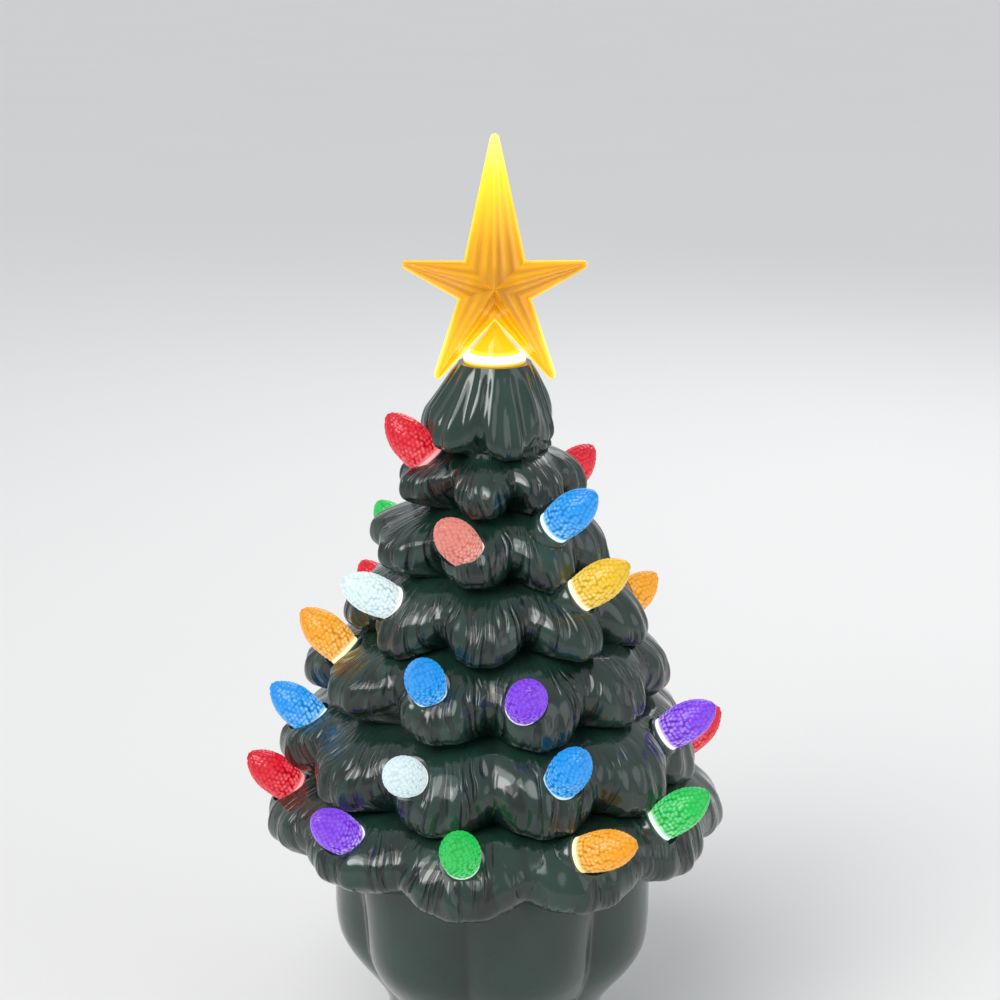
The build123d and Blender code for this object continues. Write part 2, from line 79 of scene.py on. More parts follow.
class Wire:
    """A shader socket that takes part in Python expressions; each operator adds a Math node."""

    def __init__(self, recipe: "Nodes", socket: bpy.types.NodeSocket) -> None:
        """Keep the tree that the socket belongs to, and the socket."""
        self.recipe = recipe
        self.socket = socket

    def _math(self, operation: str, *values: Any) -> "Wire":
        """Math node of an operation on up to three values."""
        return self.recipe.node("ShaderNodeMath", {"operation": operation}, dict(enumerate(values)))

    def __add__(self, other: Any) -> "Wire":
        """Sum."""
        return self._math("ADD", self, other)

    __radd__ = __add__

    def __sub__(self, other: Any) -> "Wire":
        """Difference."""
        return self._math("SUBTRACT", self, other)

    def __rsub__(self, other: Any) -> "Wire":
        """Reflected difference."""
        return self._math("SUBTRACT", other, self)

    def __mul__(self, other: Any) -> "Wire":
        """Product."""
        return self._math("MULTIPLY", self, other)

    __rmul__ = __mul__

    def __truediv__(self, other: Any) -> "Wire":
        """Quotient."""
        return self._math("DIVIDE", self, other)

    def __abs__(self) -> "Wire":
        """Distance from zero."""
        return self._math("ABSOLUTE", self)

    def most(self, other: Any) -> "Wire":
        """The larger of two values."""
        return self._math("MAXIMUM", self, other)

    def smooth(self, low: float, high: float) -> "Wire":
        """Smooth step from 0 at low to 1 at high.

        Args:
            low: Value that gives 0.
            high: Value that gives 1.

        Returns:
            The stepped value.
        """
        values = {"Value": self, "From Min": low, "From Max": high, "To Min": 0.0, "To Max": 1.0}
        return self.recipe.node("ShaderNodeMapRange", {"interpolation_type": "SMOOTHSTEP"}, values)


class Nodes:
    """A node tree in the making."""

    def __init__(self, tree: bpy.types.NodeTree) -> None:
        """Keep the tree."""
        self.tree = tree

    def fill(self, node: bpy.types.Node, values: dict[Any, Any]) -> None:
        """Set or link a node's input sockets."""
        for key, value in values.items():
            if isinstance(value, Wire):
                self.tree.links.new(value.socket, node.inputs[key])
            else:
                node.inputs[key].default_value = value

    def node(
        self, kind: str, settings: dict[str, Any], values: dict[Any, Any], out: Any = 0
    ) -> Wire:
        """Add a node.

        Args:
            kind: Node type.
            settings: Properties to set first.
            values: Input sockets by name or number, as values or wires.
            out: Name or number of the output that is wanted.

        Returns:
            The output as a wire.
        """
        node = self.tree.nodes.new(kind)
        for key, value in settings.items():
            setattr(node, key, value)
        self.fill(node, values)
        return Wire(self, node.outputs[out])


class Recipe(Nodes):
    """One node material in the making, around a single Principled shader."""

    def __init__(self, name: str) -> None:
        """Start a material with a Principled shader joined to its output."""
        self.material = bpy.data.materials.new(name)
        self.material.use_nodes = True
        super().__init__(self.material.node_tree)
        self.tree.nodes.clear()
        self.shader = self.tree.nodes.new("ShaderNodeBsdfPrincipled")
        output = self.tree.nodes.new("ShaderNodeOutputMaterial")
        self.tree.links.new(self.shader.outputs[0], output.inputs[0])

    def place(self) -> Wire:
        """Object coordinates, which are the row frame in metres."""
        return self.node("ShaderNodeTexCoord", {}, {}, "Object")

    def part_of(self, vector: Wire, axis: str) -> Wire:
        """One component of a vector."""
        return self.node("ShaderNodeSeparateXYZ", {}, {0: vector}, axis)

    def join(self, across: Any, along: Any, up: Any = 0.0) -> Wire:
        """Vector of three values."""
        return self.node("ShaderNodeCombineXYZ", {}, {0: across, 1: along, 2: up})

    def stretched(self, vector: Wire, scale: Triple) -> Wire:
        """Vector scaled along each axis."""
        return self.node("ShaderNodeMapping", {}, {"Vector": vector, "Scale": scale})

    def attribute(self, name: str) -> Wire:
        """Value that the mesh holds under a name."""
        return self.node("ShaderNodeAttribute", {"attribute_name": name}, {}, "Fac")

    def noise(self, vector: Wire, scale: float, detail: float, roughness: float = 0.5) -> Wire:
        """Noise from 0 to 1.

        Args:
            vector: Where to read it.
            scale: Features per unit.
            detail: Octaves.
            roughness: Weight of the small octaves.

        Returns:
            The noise value.
        """
        values = {"Vector": vector, "Scale": scale, "Detail": detail, "Roughness": roughness}
        return self.node("ShaderNodeTexNoise", {}, values, "Fac")

    def blend(self, share: Any, first: Any, second: Any) -> Wire:
        """Colour between two colours.

        Args:
            share: 0 for the first and 1 for the second.
            first: Colour or wire.
            second: Colour or wire.

        Returns:
            The mixed colour.
        """
        first = first if isinstance(first, Wire) else rgba(first)
        second = second if isinstance(second, Wire) else rgba(second)
        return self.node("ShaderNodeMix", {"data_type": "RGBA"}, {0: share, 6: first, 7: second}, 2)

    def bump(self, height: Wire, distance: float) -> Wire:
        """Normal from a height in shares of a distance in metres."""
        values = {"Height": height, "Distance": distance, "Strength": 1.0}
        return self.node("ShaderNodeBump", {}, values, "Normal")

    def done(self, **sockets: Any) -> bpy.types.Material:
        """Fill the shader's sockets, named with underscores, and give the material."""
        self.fill(self.shader, {key.replace("_", " "): value for key, value in sockets.items()})
        return self.material


class BulbColour(Enum):
    """Colours of the bulb pegs: plastic, light through the body and light at the flange."""

    RED = ((0.15, 0.001, 0.004), (0.70, 0.004, 0.024), (1.0, 0.34, 0.34))
    GREEN = ((0.002, 0.10, 0.016), (0.006, 0.56, 0.08), (0.66, 1.0, 0.74))
    BLUE = ((0.001, 0.05, 0.18), (0.004, 0.32, 0.86), (0.66, 0.93, 1.0))
    PINK = ((0.20, 0.05, 0.04), (0.72, 0.23, 0.18), (1.0, 0.82, 0.76))
    YELLOW = ((0.20, 0.11, 0.002), (0.82, 0.52, 0.015), (1.0, 0.95, 0.60))
    WHITE = ((0.26, 0.32, 0.33), (0.62, 0.76, 0.78), (1.0, 1.0, 1.0))
    ORANGE = ((0.22, 0.08, 0.002), (0.88, 0.36, 0.006), (1.0, 0.86, 0.48))
    PURPLE = ((0.04, 0.006, 0.16), (0.23, 0.05, 0.82), (0.90, 0.86, 1.0))


@dataclass(frozen=True)
class GreenGlaze:
    """Deep green gloss glaze that pools dark in the needle strokes, carries painted shade in the
    creases between boughs, and thins on the edges.
    """

    pooled_glaze_and_shade: Colour = (0.002, 0.007, 0.005)
    body: Colour = (0.006, 0.022, 0.015)
    thinned: Colour = (0.014, 0.046, 0.032)
    stroke_spacing: float = 5.2
    stroke_length: float = 30.0
    stroke_sway: float = 2.0
    stroke_width: float = 0.16
    stroke_depth: float = 1.0 * MM
    patch_edges: Pair = (0.33, 0.50)
    bare_on_the_right: float = 1.8
    swell_scale: float = 55.0
    peel_scale: float = 420.0
    roughness: float = 0.115
    coat: float = 0.35

    def strokes(self, recipe: Recipe, place: Wire) -> Wire:
        """Needle strokes, laid out in patches on the body's own map in millimetres.

        Args:
            recipe: The glaze in the making.
            place: Object coordinates.

        Returns:
            1 along the middle of a stroke and 0 beside it.
        """
        spot = recipe.node("ShaderNodeUVMap", {"uv_map": "needles"}, {})
        across, along = recipe.part_of(spot, "X"), recipe.part_of(spot, "Y")
        sway = recipe.noise(recipe.join(across * 0.06, along * 0.05), 1.0, 1.0) - 0.5
        lane = across / self.stroke_spacing + sway * self.stroke_sway
        comb = recipe.noise(recipe.join(lane, along / self.stroke_length), 1.0, 1.0, 0.4)
        groove = 1.0 - abs(comb - 0.5).smooth(0.0, self.stroke_width)
        patch = recipe.noise(recipe.join(across * 0.045, along * 0.05), 1.0, 1.0)
        bare = recipe.part_of(place, "X") * self.bare_on_the_right
        return groove * (patch - bare).smooth(*self.patch_edges) * recipe.attribute("needle_share")

    def material(self) -> bpy.types.Material:
        """Glaze material, dark where it pools in the strokes, with painted shade in the creases,
        and paler on the swells.
        """
        recipe = Recipe("green_glaze")
        place = recipe.place()
        stroke = self.strokes(recipe, place)
        swell = recipe.noise(place, self.swell_scale, 2.0)
        orange_peel = recipe.noise(place, self.peel_scale, 2.0)
        crease = recipe.attribute("crease")
        tone = recipe.blend((swell * 0.6 + 0.2).smooth(0.25, 0.75), self.body, self.thinned)
        # Painted shade: the creases between boughs are darkened towards the same dark tone as the
        # pooled strokes.
        tone = recipe.blend((stroke * 0.85 + crease * 0.55).smooth(0.0, 1.0), tone, self.pooled_glaze_and_shade)
        height = 1.0 - stroke + swell * 0.55 + orange_peel * 0.03
        return recipe.done(
            Base_Color=tone,
            Roughness=self.roughness + orange_peel * 0.06 + stroke * 0.05,
            IOR=1.52,
            Coat_Weight=self.coat,
            Coat_Roughness=0.06,
            Normal=recipe.bump(height, self.stroke_depth),
        )


@dataclass(frozen=True)
class BulbPlastic:
    """Pebbled translucent plastic of one colour, lit from its stem."""

    colour: BulbColour
    flange_edges: Pair = (0.02, 0.13)
    fade_edges: Pair = (0.06, 0.74)
    glint_edges: Pair = (0.38, 0.62)
    glint_scale: float = 420.0
    grain_scale: float = 900.0
    grain_depth: float = 0.06 * MM
    glow_level: float = 0.92

    def material(self) -> bpy.types.Material:
        """Bulb material: light is palest at the flange and deepest in the pebbles' hollows."""
        body, glow, flange = self.colour.value
        recipe = Recipe("bulb_" + self.colour.name.lower())
        along = recipe.attribute("along")
        pebble = recipe.attribute("pebble")
        grain = recipe.noise(recipe.place(), self.grain_scale, 2.0)
        near = 1.0 - along.smooth(*self.flange_edges)
        fade = 1.0 - along.smooth(*self.fade_edges)
        # Painted glints: pebble tops in the lower part of the bulb are paled towards the flange's
        # light, as highlights of the stem's light.
        glint = recipe.noise(recipe.place(), self.glint_scale, 1.0).smooth(*self.glint_edges)
        glint_mask = pebble.smooth(0.40, 0.95) * (glint * 0.65 + 0.35)
        deep = tuple(0.36 * part for part in glow)
        glint_tone = tuple(0.35 * inner + 0.65 * outer for inner, outer in zip(glow, flange))
        hollow = 1.0 - (pebble * 0.9 + grain * 0.3).smooth(0.0, 0.9)
        light = recipe.blend(hollow * (1.0 - along.smooth(0.40, 0.95) * 0.55), glow, deep)
        light = recipe.blend(along.smooth(0.55, 1.0) * 0.20, light, deep)
        light = recipe.blend((fade * 0.85 + 0.10) * glint_mask, light, glint_tone)
        light = recipe.blend(near, light, flange)
        return recipe.done(
            # Painted light: near the flange the base colour is also paled towards the flange's
            # light.
            Base_Color=recipe.blend(near * 0.8, body, flange),
            Roughness=0.18 + grain * 0.10,
            IOR=1.49,
            Specular_IOR_Level=0.38,
            Coat_Weight=0.12,
            Coat_Roughness=0.05,
            Emission_Color=light,
            Emission_Strength=self.glow_level,
            Normal=recipe.bump(grain, self.grain_depth),
        )


@dataclass(frozen=True)
class AmberPlastic:
    """Clear amber star plastic with fluted faces, bright along its rims and low down."""

    body: Colour = (0.94, 0.60, 0.012)
    deep: Colour = (0.10, 0.035, 0.0)
    lit: Colour = (0.40, 0.22, 0.003)
    rim: Colour = (1.0, 0.78, 0.05)
    tip: Colour = (1.0, 0.95, 0.55)
    low_edges: Pair = (0.233, 0.250)
    high_edges: Pair = (0.264, 0.292)
    tip_edges: Pair = (0.286, 0.303)
    hub_height: float = 0.2555
    hub_edges: Pair = (0.0042, 0.0085)
    cloud_scale: float = 90.0
    cloud_depth: float = 0.15 * MM
    glow_level: float = 0.55
    def material(self) -> bpy.types.Material:
        """Star material: the rim, the flutes' crests and the long point carry the light."""
        recipe = Recipe("amber_plastic")
        place = recipe.place()
        height = recipe.part_of(place, "Z")
        rim = recipe.attribute("rim")
        flute = recipe.attribute("flute")
        cloud = recipe.noise(place, self.cloud_scale, 3.0)
        low = 1.0 - height.smooth(*self.low_edges)
        high = height.smooth(*self.high_edges)
        from_hub = recipe.join(recipe.part_of(place, "X"), 0.0, height - self.hub_height)
        reach = recipe.node("ShaderNodeVectorMath", {"operation": "LENGTH"}, {0: from_hub}, "Value")
        hub = 1.0 - reach.smooth(*self.hub_edges)
        light = recipe.blend((flute * 0.8 + cloud * 0.45).smooth(0.2, 1.2), self.deep, self.lit)
        light = recipe.blend(hub * 0.7, light, self.deep)
        light = recipe.blend(low * 0.35 + high * 0.75, light, self.rim)
        light = recipe.blend(rim * 0.55, light, self.rim)
        light = recipe.blend(rim * low * 0.8, light, self.tip)
        light = recipe.blend(height.smooth(*self.tip_edges) * 0.9, light, self.tip)
        return recipe.done(
            Base_Color=recipe.blend(cloud * 0.4, self.body, self.lit),
            Roughness=0.04 + cloud * 0.05,
            IOR=1.45,
            Transmission_Weight=0.65,
            Coat_Weight=0.15,
            Coat_Roughness=0.03,
            Emission_Color=light,
            Emission_Strength=self.glow_level,
            Normal=recipe.bump(cloud, self.cloud_depth),
        )


@dataclass(frozen=True)
class LitStem:
    """The star's stem: a milky ring that glows white, with an amber dome above."""

    ring: Colour = (1.0, 0.97, 0.86)
    dome: Colour = (0.80, 0.46, 0.02)
    foot_edges: Pair = (0.2322, 0.2340)
    top_edges: Pair = (0.2346, 0.2362)
    cloud_scale: float = 260.0
    cloud_depth: float = 0.08 * MM
    glow_level: float = 0.95
    def material(self) -> bpy.types.Material:
        """Stem material, white at its flange and amber up the tube."""
        recipe = Recipe("lit_stem")
        place = recipe.place()
        height = recipe.part_of(place, "Z")
        cloud = recipe.noise(place, self.cloud_scale, 2.0)
        ring = (1.0 - height.smooth(*self.top_edges)) * height.smooth(*self.foot_edges)
        light = recipe.blend((ring + cloud * 0.12).smooth(0.05, 1.0), self.dome, self.ring)
        return recipe.done(
            Base_Color=light,
            Roughness=0.18 + cloud * 0.1,
            IOR=1.49,
            Emission_Color=light,
            Emission_Strength=self.glow_level,
            Normal=recipe.bump(cloud, self.cloud_depth),
        )


@dataclass(frozen=True)
class Moulded:
    """Fine-grained moulded plastic or rubber in one tone."""

    name: str
    tone: Colour
    roughness: float
    grain: float = 1500.0
    grain_depth: float = 0.05 * MM
    dust: float = 0.05
    wear_scale: float = 70.0

    def material(self) -> bpy.types.Material:
        """Moulded material with a spark-eroded grain and a little handling wear."""
        recipe = Recipe(self.name)
        place = recipe.place()
        grain = recipe.noise(place, self.grain, 3.0)
        wear = recipe.noise(place, self.wear_scale, 4.0).smooth(0.45, 0.75)
        worn = tuple(part + (1.0 - part) * self.dust for part in self.tone)
        return recipe.done(
            Base_Color=recipe.blend(wear * 0.6 + grain * 0.25, self.tone, worn),
            Roughness=self.roughness + grain * 0.12 - wear * 0.06,
            Normal=recipe.bump(grain, self.grain_depth),
        )


@dataclass(frozen=True)
class Plated:
    """Plated sheet or turned metal with fine drawn lines."""

    name: str
    tone: Colour
    roughness: float
    lines: Triple
    line_depth: float = 0.02 * MM
    tarnish_scale: float = 140.0
    tarnish_share: float = 0.62

    def material(self) -> bpy.types.Material:
        """Metal material with lines along the stretch and faint tarnish."""
        recipe = Recipe(self.name)
        place = recipe.place()
        drawn = recipe.noise(recipe.stretched(place, self.lines), 1.0, 4.0)
        tarnish = recipe.noise(place, self.tarnish_scale, 3.0).smooth(0.45, 0.8)
        dull = tuple(part * self.tarnish_share for part in self.tone)
        return recipe.done(
            Base_Color=recipe.blend(tarnish * 0.5 + drawn * 0.2, self.tone, dull),
            Metallic=1.0,
            Roughness=self.roughness + drawn * 0.16,
            Normal=recipe.bump(drawn, self.line_depth),
        )


@dataclass(frozen=True)
class Laminate:
    """White circuit laminate with copper tracks showing faintly through the mask."""

    mask: Colour = (0.74, 0.75, 0.70)
    track: Colour = (0.60, 0.62, 0.55)
    track_scale: float = 260.0
    track_edges: Pair = (0.36, 0.42)
    track_depth: float = 0.04 * MM
    weave_scale: float = 1200.0

    def material(self) -> bpy.types.Material:
        """Laminate material with square tracks."""
        recipe = Recipe("circuit_laminate")
        place = recipe.place()
        squares = {"distance": "CHEBYCHEV", "feature": "F1"}
        values = {"Vector": place, "Scale": self.track_scale}
        maze = recipe.node("ShaderNodeTexVoronoi", squares, values, "Distance")
        tracks = 1.0 - maze.smooth(*self.track_edges)
        weave = recipe.noise(place, self.weave_scale, 2.0)
        return recipe.done(
            Base_Color=recipe.blend(tracks, self.mask, self.track),
            Roughness=0.34 + weave * 0.15,
            Normal=recipe.bump(tracks + weave * 0.2, self.track_depth),
        )


@dataclass(frozen=True)
class LightLens:
    """Clear lens over a lit chip."""

    glow: Colour = (1.0, 0.95, 0.82)
    edge: Colour = (0.92, 0.72, 0.30)
    cloud_scale: float = 700.0
    glow_level: float = 1.0

    def material(self) -> bpy.types.Material:
        """Lens material that glows warm white."""
        recipe = Recipe("light_lens")
        cloud = recipe.noise(recipe.place(), self.cloud_scale, 2.0)
        light = recipe.blend(cloud.smooth(0.35, 0.75), self.glow, self.edge)
        return recipe.done(
            Base_Color=light,
            Roughness=0.12 + cloud * 0.1,
            Emission_Color=light,
            Emission_Strength=self.glow_level,
        )


@dataclass(frozen=True)
class CellSleeve:
    """Plain printed sleeve of a battery cell, with steel ends and a copper band at one end."""

    sleeve: Colour = (0.012, 0.013, 0.016)
    band: Colour = (0.48, 0.22, 0.07)
    steel: Colour = (0.62, 0.62, 0.63)
    band_edges: Pair = (0.0105, 0.0108)
    raised_end: Pair = (0.0210, 0.0212)
    flat_end: Pair = (-0.0221, -0.0219)
    scuff_lines: Triple = (300.0, 60.0, 300.0)
    scuff_depth: float = 0.02 * MM

    def material(self, facing: int) -> bpy.types.Material:
        """Sleeve material.

        Args:
            facing: 1 where the raised end points to +Y, -1 where it points to -Y.

        Returns:
            The material.
        """
        recipe = Recipe(f"cell_sleeve_{'back' if facing > 0 else 'front'}")
        place = recipe.place()
        along = recipe.part_of(place, "Y") * float(facing)
        scuff = recipe.noise(recipe.stretched(place, self.scuff_lines), 1.0, 4.0)
        band = along.smooth(*self.band_edges)
        bare = along.smooth(*self.raised_end) + (1.0 - along.smooth(*self.flat_end))
        tone = recipe.blend(band, self.sleeve, self.band)
        tone = recipe.blend(scuff.smooth(0.62, 0.85) * 0.18, tone, self.steel)
        return recipe.done(
            Base_Color=recipe.blend(bare, tone, self.steel),
            Metallic=bare * 0.9 + band * 0.35,
            Roughness=0.26 + scuff * 0.14,
            Normal=recipe.bump(scuff, self.scuff_depth),
        )


class Bench:
    """Hand tools: what every piece is started, shaped and finished with."""

    @staticmethod
    def clear() -> None:
        """Leave edit mode and deselect everything."""
        if bpy.context.object is not None and bpy.context.object.mode != "OBJECT":
            bpy.ops.object.mode_set(mode="OBJECT")
        bpy.ops.object.select_all(action="DESELECT")

    @staticmethod
    def pick(*objects: bpy.types.Object) -> None:
        """Select only these objects and make the first one active."""
        Bench.clear()
        for item in objects:
            item.select_set(True)
        bpy.context.view_layer.objects.active = objects[0]

    @staticmethod
    @contextmanager
    def editing() -> Iterator[None]:
        """Edit mode with all of the active object selected, left again at the end."""
        bpy.ops.object.mode_set(mode="EDIT")
        bpy.ops.mesh.select_all(action="SELECT")
        yield
        bpy.ops.object.mode_set(mode="OBJECT")

    @staticmethod
    def turned(name: str, profile: Profile, segments: int) -> bpy.types.Object:
        """Turn a closed piece on the axis, extruding a disc ring by ring.

        Args:
            name: Object name.
            profile: (radius, height) pairs in millimetres from the bottom disc up; a last
                radius of 0 closes to a point.
            segments: Sides of the turned piece.

        Returns:
            The object, at the origin, with its place in its mesh.
        """
        Bench.clear()
        rings = [(radius * MM, height * MM) for radius, height in profile]
        radius, height = rings[0]
        bpy.ops.mesh.primitive_circle_add(
            vertices=segments, radius=radius, fill_type="NGON", location=(0.0, 0.0, height)
        )
        piece = bpy.context.object
        piece.name = name
        with Bench.editing():
            bpy.ops.mesh.select_mode(type="FACE")
            for next_radius, next_height in rings[1:]:
                move = {"value": (0.0, 0.0, next_height - height)}
                bpy.ops.mesh.extrude_region_move(TRANSFORM_OT_translate=move)
                if next_radius <= 0.0:
                    bpy.ops.mesh.merge(type="CENTER")
                    break
                grow = next_radius / radius
                middle = (0.0, 0.0, next_height)
                bpy.ops.transform.resize(value=(grow, grow, 1.0), center_override=middle)
                radius, height = next_radius, next_height
            bpy.ops.mesh.select_all(action="SELECT")
            bpy.ops.mesh.normals_make_consistent(inside=False)
        bpy.ops.object.transform_apply(location=True, rotation=True, scale=True)
        return piece

    @staticmethod
    def copied(piece: bpy.types.Object, name: str, matrix: Matrix) -> bpy.types.Object:
        """Copy of a piece with its own mesh, set in place in its mesh.

        Args:
            piece: What to copy.
            name: Name of the copy.
            matrix: Where the copy goes.

        Returns:
            The copy.
        """
        copy = piece.copy()
        copy.data = piece.data.copy()
        copy.name = name
        bpy.context.scene.collection.objects.link(copy)
        copy.data.transform(matrix)
        return copy

    @staticmethod
    def carve(piece: bpy.types.Object, tool: bpy.types.Object, operation: str) -> None:
        """Join or cut a piece with a tool, and remove the tool.

        Args:
            piece: What is carved.
            tool: Closed mesh.
            operation: "UNION" or "DIFFERENCE".
        """
        Bench.pick(piece)
        carving = piece.modifiers.new("carving", "BOOLEAN")
        carving.operation = operation
        carving.solver = "MANIFOLD"
        carving.object = tool
        bpy.ops.object.modifier_apply(modifier=carving.name)
        bpy.data.objects.remove(tool)

    @staticmethod
    def remove(*objects: bpy.types.Object) -> None:
        """Delete helper objects."""
        for item in objects:
            bpy.data.objects.remove(item)

    @staticmethod
    def smooth(piece: bpy.types.Object, angle: float) -> None:
        """Shade smooth below an angle in degrees."""
        Bench.pick(piece)
        bpy.ops.object.shade_smooth_by_angle(angle=math.radians(angle))

    @staticmethod
    def hold(piece: bpy.types.Object, name: str, values: np.ndarray) -> None:
        """Store one value per vertex under a name."""
        attribute = piece.data.attributes.new(name, "FLOAT", "POINT")
        attribute.data.foreach_set("value", np.asarray(values, np.float32).ravel())

    @staticmethod
    def points(piece: bpy.types.Object) -> np.ndarray:
        """Vertex places as an array of three columns."""
        places = np.zeros(len(piece.data.vertices) * 3, np.float32)
        piece.data.vertices.foreach_get("co", places)
        return places.reshape(-1, 3).astype(float)

    @staticmethod
    def set_points(piece: bpy.types.Object, places: np.ndarray) -> None:
        """Move the vertices to new places."""
        piece.data.vertices.foreach_set("co", np.asarray(places, np.float32).ravel())
        piece.data.update()

    @staticmethod
    def dress(piece: bpy.types.Object, material: bpy.types.Material) -> None:
        """Give a piece a single material."""
        piece.data.materials.clear()
        piece.data.materials.append(material)

    @staticmethod
    def fit(
        piece: bpy.types.Object, material: bpy.types.Material, body: str, slot: str, *nodes: str
    ) -> None:
        """Dress a piece, set it on its body in place of CAD nodes and report it.

        Args:
            piece: Finished piece.
            material: What it is dressed in.
            body: CAD body that it rides on.
            slot: Material slot of the record; not used.
            nodes: CAD nodes that it stands for.
        """
        Bench.dress(piece, material)
        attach(piece, body)
        if nodes:
            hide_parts(*nodes)
        LOG.info("piece %s on %s, %d faces", piece.name, body, len(piece.data.polygons))


def run_through(rows: np.ndarray, count: int) -> np.ndarray:
    """Smooth curve through rows of values.

    Args:
        rows: One row of values per knot.
        count: Rows wanted.

    Returns:
        That many rows, from the first knot to the last.
    """
    steps = np.linspace(0.0, len(rows) - 1.0, count)
    first = np.clip(np.floor(steps).astype(int), 0, len(rows) - 2)
    share = (steps - first)[:, None]
    padded = np.vstack([2 * rows[0] - rows[1], rows, 2 * rows[-1] - rows[-2]])
    before, start, end, after = (padded[first + offset] for offset in range(4))
    pull = 2 * before - 5 * start + 4 * end - after
    bend = -before + 3 * start - 3 * end + after
    return 0.5 * (2 * start + (end - before) * share + pull * share**2 + bend * share**3)


@dataclass
class SectionRow:
    """One ring of the body's surface, in millimetres."""

    height: float
    ridge: float
    valley: float
    count: int
    turn: float
    tier: int
    run: float
    needle_share: float
    droop: float


@dataclass
class Seat:
    """Place of one bulb peg."""

    colour: BulbColour
    node: str
    matrix: Matrix


